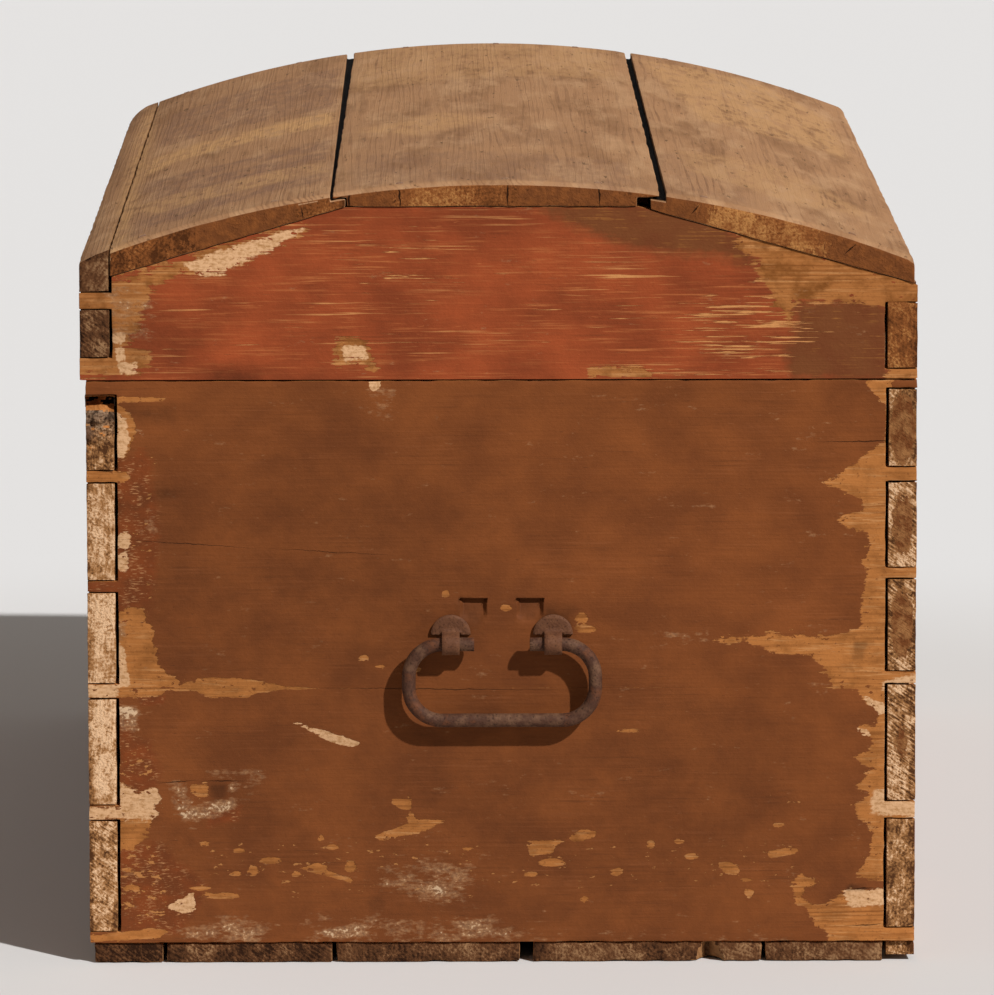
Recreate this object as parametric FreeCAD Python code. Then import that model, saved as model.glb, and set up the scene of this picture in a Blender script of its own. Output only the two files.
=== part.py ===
import FreeCAD, Part
import math
import os

# A dome-top pine trunk: dovetailed board walls, nailed bottom boards, a coved lid of three planks
# on two gables, forged iron handles, strap hinges and a chest lock.
# X runs along the trunk, the front faces -Y, Z is up, and the origin is in the middle of the
# surface that the trunk stands on. Millimetres.

V = FreeCAD.Vector

# Box of the trunk
BODY_LENGTH = 1100.0
BODY_WIDTH = 600.0
WALL_HEIGHT = 412.0
SIDE_THICKNESS = 21.0
END_THICKNESS = 21.0
BOTTOM_THICKNESS = 15.0
BOTTOM_FRONT_INSET = 3.0
BOTTOM_END_INSET = 1.5
BOTTOM_BACK_GAP = 2.0
BACK_FLOOR_GAP = 4.0
BACK_LIP_SETBACK = 4.0

# Corner joints: height of each tail as low and high shares of the wall, from its lower edge
FRONT_TAIL_SHARES = ((0.021, 0.220), (0.247, 0.437), (0.464, 0.626), (0.647, 0.820), (0.842, 0.975))
BACK_TAIL_SHARES = ((0.025, 0.220), (0.252, 0.460), (0.483, 0.647), (0.668, 0.819), (0.846, 0.984))
FRONT_SEAM_SHARE = 0.636
BACK_SEAM_SHARE = 0.657
DOVETAIL_FLARE = 3.0
JOINT_CLEARANCE = 0.3
SHOULDER_GAP = 1.5
SEAM_GAP = 0.5
BOTTOM_BOARD_SHARES = ((0.0, 0.089), (0.091, 0.303), (0.307, 0.540), (0.556, 0.847), (0.850, 1.0))

# Lid
LID_GAP = 0.8
LID_HEIGHT = 144.0
LID_FRONT_OVERHANG = 4.0
DOME_RISE = 57.5
RAIL_THICKNESS = 22.0
PLANK_THICKNESS = 19.0
FRONT_PLANK_EDGE = 20.0
BACK_PLANK_EDGE = 18.5
PLANK_OVERHANG = 1.5
PLANK_RAIL_GAP = 0.8
SEAT_CLEARANCE = 0.2
FRONT_BREAK_SHARE = 0.364
BACK_BREAK_SHARE = 0.331
LAP_WIDTH = 10.0
LAP_DEPTH = 6.0
FRONT_GAP_NEAR = 1.6
FRONT_GAP_FAR = 7.0
BACK_GAP_NEAR = 4.2
BACK_GAP_FAR = 7.0
RAIL_LOWER_TAIL_SHARES = (0.187, 0.592)
RAIL_UPPER_TAIL_SHARE = 0.736
BACK_RAIL_TAIL_SHARES = (0.083, 0.635)

# Forged square nails
NAIL_SHANK = 3.6
NAIL_TIP_SHARE = 0.4
NAIL_HEAD = 9.0
NAIL_HEAD_HEIGHT = 2.2
NAIL_CROWN_SHARE = 0.45
NAIL_PROUD = 0.6
LID_NAIL_LENGTH = 48.0
BOTTOM_NAIL_LENGTH = 44.0
IRON_NAIL_LENGTH = 15.0
FRONT_PLANK_NAIL_SHARES = (-0.848, -0.533)
MIDDLE_PLANK_NAIL_SHARES = (-0.235, 0.017, 0.238)
BACK_PLANK_NAIL_SHARES = (0.490, 0.844)
FRONT_NAIL_LINE_SHARES = (-0.8, -0.4, 0.0, 0.4, 0.8)

# End handles: a bail that swings in two staples
BAIL_ROD = 10.2
BAIL_WIDTH = 145.0
BAIL_DROP = 55.6
BAIL_CORNER = 24.0
BAIL_STUB_GAP = 40.0
HANDLE_HEIGHT = 236.5
HANDLE_SEAM_DROP = 34.0
HANDLE_STANDOFF = 13.0
STAPLE_SPACING = 74.0
STAPLE_WIDTH = 13.0
STAPLE_THICKNESS = 2.5
STAPLE_CLEARANCE = 0.3
STAPLE_FLANGE = 29.0
STAPLE_CLINCH = 16.0
STAPLE_SLOT_CLEARANCE = 0.15
NOTCH_SPACING = 41.0
NOTCH_WIDTH = 19.0
NOTCH_RISE = 31.0
NOTCH_HEIGHT = 19.0
NOTCH_DEPTH = 5.0

# Strap hinges on the back
HINGE_SPACING = 560.0
HINGE_WIDTH = 40.0
HINGE_BARREL = 10.0
HINGE_PIN = 5.2
HINGE_PIN_CLEARANCE = 0.05
HINGE_PIN_HEAD = 7.6
HINGE_PIN_HEAD_LENGTH = 2.0
HINGE_WALL_GAP = 0.4
KNUCKLE_GAP = 0.4
KNUCKLE_SHARE = 0.3
STRAP_THICKNESS = 2.5
LID_STRAP_LENGTH = 56.0
BODY_STRAP_LENGTH = 190.0
STRAP_TIP_WIDTH = 22.0
LID_STRAP_NAIL_SHARES = (0.42, 0.82)
BODY_STRAP_NAIL_SHARES = (0.18, 0.52, 0.86)

# Chest lock inside the front, and the hook on the lid that its bolt holds
ESCUTCHEON_WIDTH = 44.0
ESCUTCHEON_HEIGHT = 78.0
ESCUTCHEON_THICKNESS = 1.6
KEYHOLE_DIAMETER = 11.0
KEYHOLE_SLOT = 6.0
KEYHOLE_DROP = 20.0
KEYHOLE_DEPTH = 40.0
LOCK_TOP_MARGIN = 6.0
LOCK_HEIGHT = 64.0
LOCK_DEPTH = 22.0
LOCK_PLATE = 2.0
LOCK_FLANGE = 14.0
HOOK_OFFSET = 36.0
HOOK_WIDTH = 10.0
HOOK_THICKNESS = 5.0
HOOK_GAP = 2.0
HOOK_DROP = 30.0
HOOK_FOOT_LENGTH = 14.0
HOOK_FOOT_HEIGHT = 6.0
HOOK_PLATE_WIDTH = 50.0
HOOK_PLATE_HEIGHT = 38.0
HOOK_PLATE_THICKNESS = 3.0
HOOK_BOSS_RISE = 4.0
HOOK_BOSS_HEIGHT = 14.0
BOLT_WIDTH = 7.0
BOLT_HEIGHT = 8.0
BOLT_TRAVEL = 14.0
BOLT_LUG_LENGTH = 8.0
BOLT_LUG_DROP = 7.0
BOLT_CLEARANCE = 0.4
GUIDE_THICKNESS = 3.0
GUIDE_INSET = 4.0

# How far a cutting shape runs past what it cuts
OVERRUN = 5.0

half_length = BODY_LENGTH / 2
half_width = BODY_WIDTH / 2
wall_low = BOTTOM_THICKNESS
wall_top = wall_low + WALL_HEIGHT
front_inner = -half_width + SIDE_THICKNESS
back_inner = half_width - SIDE_THICKNESS
end_inner = half_length - END_THICKNESS
end_middle = half_length - END_THICKNESS / 2

lid_base = wall_top + LID_GAP
lid_front = -half_width - LID_FRONT_OVERHANG
lid_back = half_width
lid_middle = (lid_front + lid_back) / 2
lid_half = (lid_back - lid_front) / 2
lid_side = LID_HEIGHT - DOME_RISE
crown = lid_base + LID_HEIGHT
dome_radius = (lid_half**2 + DOME_RISE**2) / (2 * DOME_RISE)
rail_inner = lid_front + RAIL_THICKNESS
back_rail_inner = lid_back - RAIL_THICKNESS
plank_reach = half_length + PLANK_OVERHANG


def dome_height(y):
    """Height of the dome's outer surface over a line along the trunk."""
    return crown - dome_radius + math.sqrt(dome_radius**2 - (y - lid_middle) ** 2)


# The flat facets that the planks lie on, as corners in Y and Z from front to back
front_foot = (rail_inner, dome_height(rail_inner) - FRONT_PLANK_EDGE)
front_break = (lid_middle - FRONT_BREAK_SHARE * lid_half, crown - PLANK_THICKNESS)
back_break = (lid_middle + BACK_BREAK_SHARE * lid_half, crown - PLANK_THICKNESS)
back_foot = (lid_back, dome_height(lid_back) - BACK_PLANK_EDGE)
lap_level = crown - PLANK_THICKNESS + LAP_DEPTH

hinge_y = half_width + HINGE_WALL_GAP + HINGE_BARREL / 2
hinge_z = wall_top + LID_GAP / 2

lock_top = wall_top - LOCK_TOP_MARGIN
hook_x = -HOOK_OFFSET
hook_front = front_inner + HOOK_GAP
hook_back = hook_front + HOOK_THICKNESS
hook_low = lid_base - HOOK_DROP
bolt_tip = hook_x + HOOK_WIDTH / 2 + HOOK_FOOT_LENGTH + BOLT_CLEARANCE
bolt_low = hook_low + HOOK_FOOT_HEIGHT + BOLT_CLEARANCE
bolt_front = (hook_front + hook_back - BOLT_WIDTH) / 2
keyhole_z = lock_top - KEYHOLE_DEPTH


def box(low, high):
    """Block between two corners."""
    return Part.makeBox(high[0] - low[0], high[1] - low[1], high[2] - low[2], V(*low))


def prism(points, travel):
    """Solid swept by a flat outline that moves along travel."""
    corners = [V(*p) for p in points]
    return Part.Face(Part.makePolygon(corners + corners[:1])).extrude(V(*travel))


def rod(start, axis, radius, length):
    """Round bar."""
    return Part.makeCylinder(radius, length, V(*start), V(*axis))


def levels(shares, low, height):
    """Heights of tails that are given as shares."""
    return [(low + a * height, low + b * height) for a, b in shares]


def tail(side, low, high, y_low, y_high, grow=0.0):
    """One tail that flares towards the trunk's end face, run past both of its ends."""
    slope = DOVETAIL_FLARE / END_THICKNESS
    outer, inner = half_length + OVERRUN, end_inner - OVERRUN
    spread = {x: slope * (x - half_length) + grow for x in (inner, outer)}
    outline = [
        (side * inner, y_low, low - spread[inner]),
        (side * outer, y_low, low - spread[outer]),
        (side * outer, y_low, high + spread[outer]),
        (side * inner, y_low, high + spread[inner]),
    ]
    return prism(outline, (0, y_high - y_low, 0))


def span(side, near, far):
    """Two places along X on one side of the middle, lowest first."""
    return sorted((side * near, side * far))


def cut_tails(blank, tails):
    """Cuts both ends of a long board to the tails that its corners need."""
    b = blank.BoundBox
    low_y, high_y = b.YMin - OVERRUN, b.YMax + OVERRUN
    for side in (1, -1):
        x = span(side, end_inner - JOINT_CLEARANCE, half_length + OVERRUN)
        waste = box((x[0], low_y, b.ZMin - OVERRUN), (x[1], high_y, b.ZMax + OVERRUN))
        for low, high in tails:
            waste = waste.cut(tail(side, low, high, low_y, high_y))
        blank = blank.cut(waste)
    return blank


def cut_sockets(board, side, tails, y_low, y_high):
    """Cuts the spaces that the tails of a long board fill at one corner."""
    for low, high in tails:
        board = board.cut(tail(side, low, high, y_low, y_high, JOINT_CLEARANCE))
    return board


def split(wall, seam):
    """The lower and upper board of a wall, either side of a seam at that height."""
    b = wall.BoundBox
    slab = box(
        (b.XMin - OVERRUN, b.YMin - OVERRUN, seam - SEAM_GAP / 2),
        (b.XMax + OVERRUN, b.YMax + OVERRUN, seam + SEAM_GAP / 2),
    )
    return sorted(wall.cut(slab).Solids, key=lambda solid: solid.CenterOfMass.z)


def nail(place, outward, length, proud=0.0):
    """Forged nail, its head's crown at the place given, or that far above it."""

    def square(width, z):
        h = width / 2
        points = [V(-h, -h, z), V(h, -h, z), V(h, h, z), V(-h, h, z)]
        return Part.makePolygon(points + points[:1])

    collar, tip = -NAIL_HEAD_HEIGHT, -NAIL_HEAD_HEIGHT - length
    head = Part.makeLoft([square(NAIL_HEAD, collar), square(NAIL_HEAD * NAIL_CROWN_SHARE, 0)], True, True)
    shank = Part.makeLoft([square(NAIL_SHANK, collar), square(NAIL_SHANK * NAIL_TIP_SHARE, tip)], True, True)
    made = head.fuse(shank)
    direction = V(*outward).normalize()
    made.Placement = FreeCAD.Placement(
        V(*place) + direction * proud, FreeCAD.Rotation(V(0, 0, 1), direction)
    )
    return made


def drive(nails, board):
    """Cuts a board's nail holes."""
    return board.cut(Part.makeCompound(nails))


# Walls of the box
front_tails = levels(FRONT_TAIL_SHARES, wall_low, WALL_HEIGHT)
back_tails = levels(BACK_TAIL_SHARES, wall_low, WALL_HEIGHT)

front_blank = box((-half_length, -half_width, wall_low), (half_length, front_inner, wall_top))
front_seam = wall_low + FRONT_SEAM_SHARE * WALL_HEIGHT
front_lower, front_upper = split(cut_tails(front_blank, front_tails), front_seam)

back_blank = box((-half_length, back_inner, wall_low), (half_length, half_width, wall_top))
back_wall = cut_tails(back_blank, back_tails)
lip_reach = half_length - BACK_LIP_SETBACK
back_lip = box((-lip_reach, back_inner, BACK_FLOOR_GAP), (lip_reach, half_width, wall_low - JOINT_CLEARANCE))
lip_web_reach = end_inner - JOINT_CLEARANCE
back_web = box((-lip_web_reach, back_inner, BACK_FLOOR_GAP), (lip_web_reach, half_width, wall_low + OVERRUN))
back_seam = wall_low + BACK_SEAM_SHARE * WALL_HEIGHT
back_lower, back_upper = split(back_wall.fuse([back_lip, back_web]).removeSplitter(), back_seam)


def end_wall(side):
    """One end, with the sockets for the front's and the back's tails, before it is split in boards."""
    x = span(side, end_inner, half_length)
    wall = box((x[0], -half_width, wall_low), (x[1], half_width, wall_top))
    wall = cut_sockets(wall, side, front_tails, -half_width - OVERRUN, front_inner + SHOULDER_GAP)
    return cut_sockets(wall, side, back_tails, back_inner - SHOULDER_GAP, half_width + OVERRUN)


# Bottom boards, laid along the trunk under the walls
bottom_front = -half_width + BOTTOM_FRONT_INSET
bottom_back = back_inner - BOTTOM_BACK_GAP
bottom_width = bottom_back - bottom_front
bottom_reach = half_length - BOTTOM_END_INSET
bottom_edges = levels(BOTTOM_BOARD_SHARES, bottom_front, bottom_width)
bottom_boards = [box((-bottom_reach, a, 0), (bottom_reach, b, BOTTOM_THICKNESS)) for a, b in bottom_edges]
bottom_places = [(side * end_middle, (a + b) / 2, 0) for side in (1, -1) for a, b in bottom_edges]
bottom_places += [(s * end_inner, (front_inner - half_width) / 2, 0) for s in FRONT_NAIL_LINE_SHARES]
bottom_nails = [nail(p, (0, 0, -1), BOTTOM_NAIL_LENGTH, -NAIL_PROUD) for p in bottom_places]


# Lid
def facet_line(drop):
    """The gables' top outline in Y and Z, lowered by drop."""
    return [(y, z - drop) for y, z in (front_foot, front_break, back_break, back_foot)]


def dome_section(y_low, y_high, lower, reach):
    """Solid along the trunk between a lower outline, from low to high Y, and the dome."""
    points = [V(-reach, y, z) for y, z in lower]
    start, end = V(-reach, y_high, dome_height(y_high)), V(-reach, y_low, dome_height(y_low))
    top_y = (y_low + y_high) / 2
    arc = Part.Arc(start, V(-reach, top_y, dome_height(top_y)), end).toShape()
    lines = Part.makePolygon([end] + points + [start])
    return Part.Face(Part.Wire(lines.Edges + [arc])).extrude(V(2 * reach, 0, 0))


rail_tails = levels([RAIL_LOWER_TAIL_SHARES], lid_base, lid_side)
rail_tails.append((lid_base + RAIL_UPPER_TAIL_SHARE * lid_side, crown))
back_rail_tails = levels([BACK_RAIL_TAIL_SHARES], lid_base, lid_side)


def gable(side):
    """Arched end board of the lid."""
    x = span(side, end_inner, half_length)
    top = facet_line(SEAT_CLEARANCE)
    outline = [(lid_front, lid_base), (lid_back, lid_base)] + top[::-1] + [(lid_front, top[0][1])]
    board = prism([(x[0], y, z) for y, z in outline], (x[1] - x[0], 0, 0))
    board = cut_sockets(board, side, rail_tails, lid_front - OVERRUN, rail_inner + SHOULDER_GAP)
    return cut_sockets(board, side, back_rail_tails, back_rail_inner - SHOULDER_GAP, lid_back + OVERRUN)


front_rail_foot = [(lid_front, lid_base), (rail_inner, lid_base)]
front_rail = cut_tails(dome_section(lid_front, rail_inner, front_rail_foot, half_length), rail_tails)

facet_slope = (back_foot[1] - back_break[1]) / (back_foot[0] - back_break[0])
back_rail_top = back_foot[1] - SEAT_CLEARANCE
back_rail_outline = [
    (-half_length, back_rail_inner, lid_base),
    (-half_length, lid_back, lid_base),
    (-half_length, lid_back, back_rail_top),
    (-half_length, back_rail_inner, back_rail_top - facet_slope * RAIL_THICKNESS),
]
back_rail = cut_tails(prism(back_rail_outline, (2 * half_length, 0, 0)), back_rail_tails)

plank_front = rail_inner + PLANK_RAIL_GAP
front_slope = (front_break[1] - front_foot[1]) / (front_break[0] - front_foot[0])
plank_foot = (plank_front, front_foot[1] + front_slope * PLANK_RAIL_GAP)
cover = dome_section(plank_front, lid_back, [plank_foot, front_break, back_break, back_foot], plank_reach)
cover_low, cover_high = back_foot[1] - OVERRUN, crown + OVERRUN


def plank_region(outline):
    """Part of the cover that lies over an outline in Y and Z."""
    points = [(-plank_reach - OVERRUN, y, z) for y, z in outline]
    return cover.common(prism(points, (2 * (plank_reach + OVERRUN), 0, 0)))


def taper(edge, widening):
    """Wedge that opens a gap between planks from the right end of the trunk to its left end."""
    reach = plank_reach + OVERRUN
    outline = [(reach, edge, lap_level), (-reach, edge, lap_level), (-reach, edge + widening, lap_level)]
    return prism(outline, (0, 0, cover_high - lap_level))


front_lap = front_break[0] - LAP_WIDTH
back_lap = back_break[0] + LAP_WIDTH
front_edge = front_lap - FRONT_GAP_NEAR
back_edge = back_lap + BACK_GAP_NEAR
tongue_level = lap_level + JOINT_CLEARANCE
middle_plank = plank_region(
    [
        (front_break[0] + JOINT_CLEARANCE, cover_low),
        (back_break[0] - JOINT_CLEARANCE, cover_low),
        (back_break[0] - JOINT_CLEARANCE, tongue_level),
        (back_lap, tongue_level),
        (back_lap, cover_high),
        (front_lap, cover_high),
        (front_lap, tongue_level),
        (front_break[0] + JOINT_CLEARANCE, tongue_level),
    ]
)
front_plank = plank_region(
    [
        (plank_front - OVERRUN, cover_low),
        (front_break[0], cover_low),
        (front_break[0], lap_level),
        (front_edge, lap_level),
        (front_edge, cover_high),
        (plank_front - OVERRUN, cover_high),
    ]
).cut(taper(front_edge, FRONT_GAP_NEAR - FRONT_GAP_FAR))
back_plank = plank_region(
    [
        (back_break[0], cover_low),
        (lid_back + OVERRUN, cover_low),
        (lid_back + OVERRUN, cover_high),
        (back_edge, cover_high),
        (back_edge, lap_level),
        (back_break[0], lap_level),
    ]
).cut(taper(back_edge, BACK_GAP_FAR - BACK_GAP_NEAR))


def plank_nails(shares):
    """Nails square to the dome, through a plank into both gables."""
    made = []
    for side in (1, -1):
        for share in shares:
            y = lid_middle + share * lid_half
            outward = (0, y - lid_middle, dome_height(y) - crown + dome_radius)
            made.append(nail((side * end_middle, y, dome_height(y)), outward, LID_NAIL_LENGTH, NAIL_PROUD))
    return made


front_plank_nails = plank_nails(FRONT_PLANK_NAIL_SHARES)
middle_plank_nails = plank_nails(MIDDLE_PLANK_NAIL_SHARES)
back_plank_nails = plank_nails(BACK_PLANK_NAIL_SHARES)
lid_nails = front_plank_nails + middle_plank_nails + back_plank_nails


# Handles
rod_radius = BAIL_ROD / 2
loop_inner = rod_radius + STAPLE_CLEARANCE
loop_outer = loop_inner + STAPLE_THICKNESS


def bail(side):
    """Iron rod bent to a grip, with its two ends turned in as pivots."""
    x = side * (half_length + HANDLE_STANDOFF)
    reach, grip = (BAIL_WIDTH - BAIL_ROD) / 2, HANDLE_HEIGHT - BAIL_DROP
    diagonal = BAIL_CORNER * math.sqrt(0.5)
    edges = []
    for hand in (-1, 1):
        flat, turn = hand * (reach - BAIL_CORNER), hand * (reach - BAIL_CORNER + diagonal)
        top, low = HANDLE_HEIGHT - BAIL_CORNER, grip + BAIL_CORNER
        stub = Part.LineSegment(V(x, hand * BAIL_STUB_GAP / 2, HANDLE_HEIGHT), V(x, flat, HANDLE_HEIGHT))
        shoulder = Part.Arc(
            V(x, flat, HANDLE_HEIGHT), V(x, turn, top + diagonal), V(x, hand * reach, top)
        )
        leg = Part.LineSegment(V(x, hand * reach, top), V(x, hand * reach, low))
        heel = Part.Arc(V(x, hand * reach, low), V(x, turn, low - diagonal), V(x, flat, grip))
        edges += [e.toShape() for e in (stub, shoulder, leg, heel)]
    edges.append(Part.LineSegment(V(x, BAIL_CORNER - reach, grip), V(x, reach - BAIL_CORNER, grip)).toShape())
    path = Part.Wire(Part.__sortEdges__(edges))
    start = path.OrderedVertexes[0].Point
    circle = Part.Wire(Part.makeCircle(rod_radius, start, V(0, 1, 0)))
    return path.makePipeShell([circle], True, False)


def staple(side, y_middle, grow=0.0):
    """Forged strap round a pivot of the bail, its legs clinched behind the end board. With grow,
    only the two legs, wider by that much, for cutting their slots."""
    y_low, y_high = y_middle - STAPLE_WIDTH / 2 - grow, y_middle + STAPLE_WIDTH / 2 + grow
    pivot = half_length + HANDLE_STANDOFF
    inside = end_inner - STAPLE_THICKNESS
    x_leg = span(side, inside, pivot)
    legs = []
    for low in (loop_inner, -loop_outer):
        z = HANDLE_HEIGHT + low - grow
        legs.append(box((x_leg[0], y_low, z), (x_leg[1], y_high, z + STAPLE_THICKNESS + 2 * grow)))
    if grow:
        return legs[0].fuse(legs[1])
    centre = (side * pivot, y_low, HANDLE_HEIGHT)
    ring = rod(centre, (0, 1, 0), loop_outer, STAPLE_WIDTH).cut(rod(centre, (0, 1, 0), loop_inner, STAPLE_WIDTH))
    x_front = span(side, pivot, pivot + loop_outer)
    front = box((x_front[0], y_low, HANDLE_HEIGHT - loop_outer), (x_front[1], y_high, HANDLE_HEIGHT + loop_outer))
    x_clinch = span(side, inside, end_inner)
    clinches = []
    for low in (loop_inner, -loop_inner - STAPLE_CLINCH):
        z = HANDLE_HEIGHT + low
        clinches.append(box((x_clinch[0], y_low, z), (x_clinch[1], y_high, z + STAPLE_CLINCH)))
    disc_x = half_length if side > 0 else -half_length - STAPLE_THICKNESS
    disc = rod((disc_x, y_middle, HANDLE_HEIGHT + loop_inner), (1, 0, 0), STAPLE_FLANGE / 2, STAPLE_THICKNESS)
    x_face = span(side, half_length, half_length + STAPLE_THICKNESS)
    half = box(
        (x_face[0], y_middle - STAPLE_FLANGE, HANDLE_HEIGHT + loop_inner),
        (x_face[1], y_middle + STAPLE_FLANGE, HANDLE_HEIGHT + loop_inner + STAPLE_FLANGE),
    )
    return ring.common(front).fuse(legs + clinches + [disc.common(half)]).removeSplitter()


def chisel_notch(side, y_middle):
    """Wedge of wood that was chopped out above a staple."""
    top = HANDLE_HEIGHT + NOTCH_RISE
    face, slope = half_length + OVERRUN, NOTCH_DEPTH / NOTCH_HEIGHT
    y = y_middle - NOTCH_WIDTH / 2
    outline = [
        (side * (half_length - NOTCH_DEPTH), y, top),
        (side * face, y, top),
        (side * face, y, top - NOTCH_HEIGHT - OVERRUN / slope),
    ]
    return prism(outline, (0, NOTCH_WIDTH, 0))


def fit_handle(side, wall):
    """The end wall's slots and notches for its handle, and the two staples."""
    staples = []
    for hand in (-1, 1):
        place = hand * STAPLE_SPACING / 2
        wall = wall.cut(staple(side, place, STAPLE_SLOT_CLEARANCE))
        wall = wall.cut(chisel_notch(side, hand * NOTCH_SPACING / 2))
        staples.append(staple(side, place))
    return wall, staples


# Hinges
barrel_radius = HINGE_BARREL / 2
outer_knuckle = KNUCKLE_SHARE * HINGE_WIDTH
inner_knuckle = HINGE_WIDTH - 2 * outer_knuckle - 2 * KNUCKLE_GAP


def knuckle(x_low, length, leaf_to):
    """One eye of a hinge, with the neck that joins it to its strap."""
    eye = rod((x_low, hinge_y, hinge_z), (1, 0, 0), barrel_radius, length)
    z = sorted((hinge_z, leaf_to))
    neck = box((x_low, half_width, z[0]), (x_low + length, half_width + STRAP_THICKNESS, z[1]))
    bore = rod(
        (x_low - OVERRUN, hinge_y, hinge_z),
        (1, 0, 0),
        HINGE_PIN / 2 + HINGE_PIN_CLEARANCE,
        length + 2 * OVERRUN,
    )
    return eye.fuse(neck).cut(bore)


def strap(x_middle, start, end, tip_width):
    """Flat leaf on the back that tapers from the knuckles to a round tip."""
    way = math.copysign(1, end - start)
    shoulder = end - way * tip_width / 2
    wide, narrow = HINGE_WIDTH / 2, tip_width / 2
    outline = [
        (x_middle - wide, half_width, start),
        (x_middle + wide, half_width, start),
        (x_middle + narrow, half_width, shoulder),
        (x_middle - narrow, half_width, shoulder),
    ]
    leaf = prism(outline, (0, STRAP_THICKNESS, 0))
    return leaf.fuse(rod((x_middle, half_width, shoulder), (0, 1, 0), narrow, STRAP_THICKNESS))


def strap_nails(x_middle, start, length, way, shares):
    """Nails down the middle of a strap."""
    y = half_width + STRAP_THICKNESS + NAIL_HEAD_HEIGHT
    return [nail((x_middle, y, start + way * s * length), (0, 1, 0), IRON_NAIL_LENGTH) for s in shares]


def hinge(x_middle):
    """Body strap, lid strap and pin of one hinge, and the nails of each strap."""
    left = x_middle - HINGE_WIDTH / 2
    clear = barrel_radius + KNUCKLE_GAP
    body_start, lid_start = hinge_z - clear, hinge_z + clear
    body = strap(x_middle, body_start, body_start - BODY_STRAP_LENGTH, STRAP_TIP_WIDTH)
    lid = strap(x_middle, lid_start, lid_start + LID_STRAP_LENGTH, STRAP_TIP_WIDTH)
    right_knuckle = left + HINGE_WIDTH - outer_knuckle
    body = body.fuse([knuckle(x, outer_knuckle, body_start) for x in (left, right_knuckle)])
    lid = lid.fuse(knuckle(left + outer_knuckle + KNUCKLE_GAP, inner_knuckle, lid_start))
    pin = rod((left, hinge_y, hinge_z), (1, 0, 0), HINGE_PIN / 2, HINGE_WIDTH)
    for x in (left - HINGE_PIN_HEAD_LENGTH, left + HINGE_WIDTH):
        pin = pin.fuse(rod((x, hinge_y, hinge_z), (1, 0, 0), HINGE_PIN_HEAD / 2, HINGE_PIN_HEAD_LENGTH))
    body_nails = strap_nails(x_middle, body_start, BODY_STRAP_LENGTH, -1, BODY_STRAP_NAIL_SHARES)
    lid_strap_nails = strap_nails(x_middle, lid_start, LID_STRAP_LENGTH, 1, LID_STRAP_NAIL_SHARES)
    return {
        "body": drive(body_nails, body.removeSplitter()),
        "lid": drive(lid_strap_nails, lid.removeSplitter()),
        "pin": pin.removeSplitter(),
        "body_nails": body_nails,
        "lid_nails": lid_strap_nails,
    }


hinges = {"right": hinge(HINGE_SPACING / 2), "left": hinge(-HINGE_SPACING / 2)}
hinge_body_nails = [n for h in hinges.values() for n in h["body_nails"]]
hinge_lid_nails = [n for h in hinges.values() for n in h["lid_nails"]]


# Lock
def keyhole(y_low, y_high):
    """Round hole with a slot below it, through whatever lies between two depths."""
    slot = KEYHOLE_SLOT / 2
    low, high = (-slot, y_low, keyhole_z - KEYHOLE_DROP), (slot, y_high, keyhole_z)
    return rod((0, y_low, keyhole_z), (0, 1, 0), KEYHOLE_DIAMETER / 2, y_high - y_low).fuse(box(low, high))


def escutcheon():
    """Round-ended iron plate round the keyhole, and its two nails."""
    face = -half_width - ESCUTCHEON_THICKNESS
    radius, middle = ESCUTCHEON_WIDTH / 2, keyhole_z - KEYHOLE_DROP / 2
    straight = (ESCUTCHEON_HEIGHT - ESCUTCHEON_WIDTH) / 2
    plate = box((-radius, face, middle - straight), (radius, -half_width, middle + straight))
    nails = []
    for way in (1, -1):
        end = middle + way * straight
        plate = plate.fuse(rod((0, face, end), (0, 1, 0), radius, ESCUTCHEON_THICKNESS))
        place = (0, face - NAIL_HEAD_HEIGHT, end + way * radius / 2)
        nails.append(nail(place, (0, -1, 0), IRON_NAIL_LENGTH))
    plate = plate.removeSplitter().cut(keyhole(face - OVERRUN, -half_width + OVERRUN))
    return drive(nails, plate), nails


guide_left = bolt_tip + GUIDE_INSET
lug_left = guide_left + GUIDE_THICKNESS + BOLT_CLEARANCE + BOLT_TRAVEL
lug_right = lug_left + BOLT_LUG_LENGTH
guide_right = lug_right + BOLT_CLEARANCE
bolt_heel = guide_right + GUIDE_THICKNESS + BOLT_TRAVEL + GUIDE_INSET
case_left = hook_x - HOOK_WIDTH / 2 - LOCK_FLANGE
case_right = bolt_heel + GUIDE_INSET + LOCK_PLATE
case_low = lock_top - LOCK_HEIGHT
case_back = front_inner + LOCK_DEPTH


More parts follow.
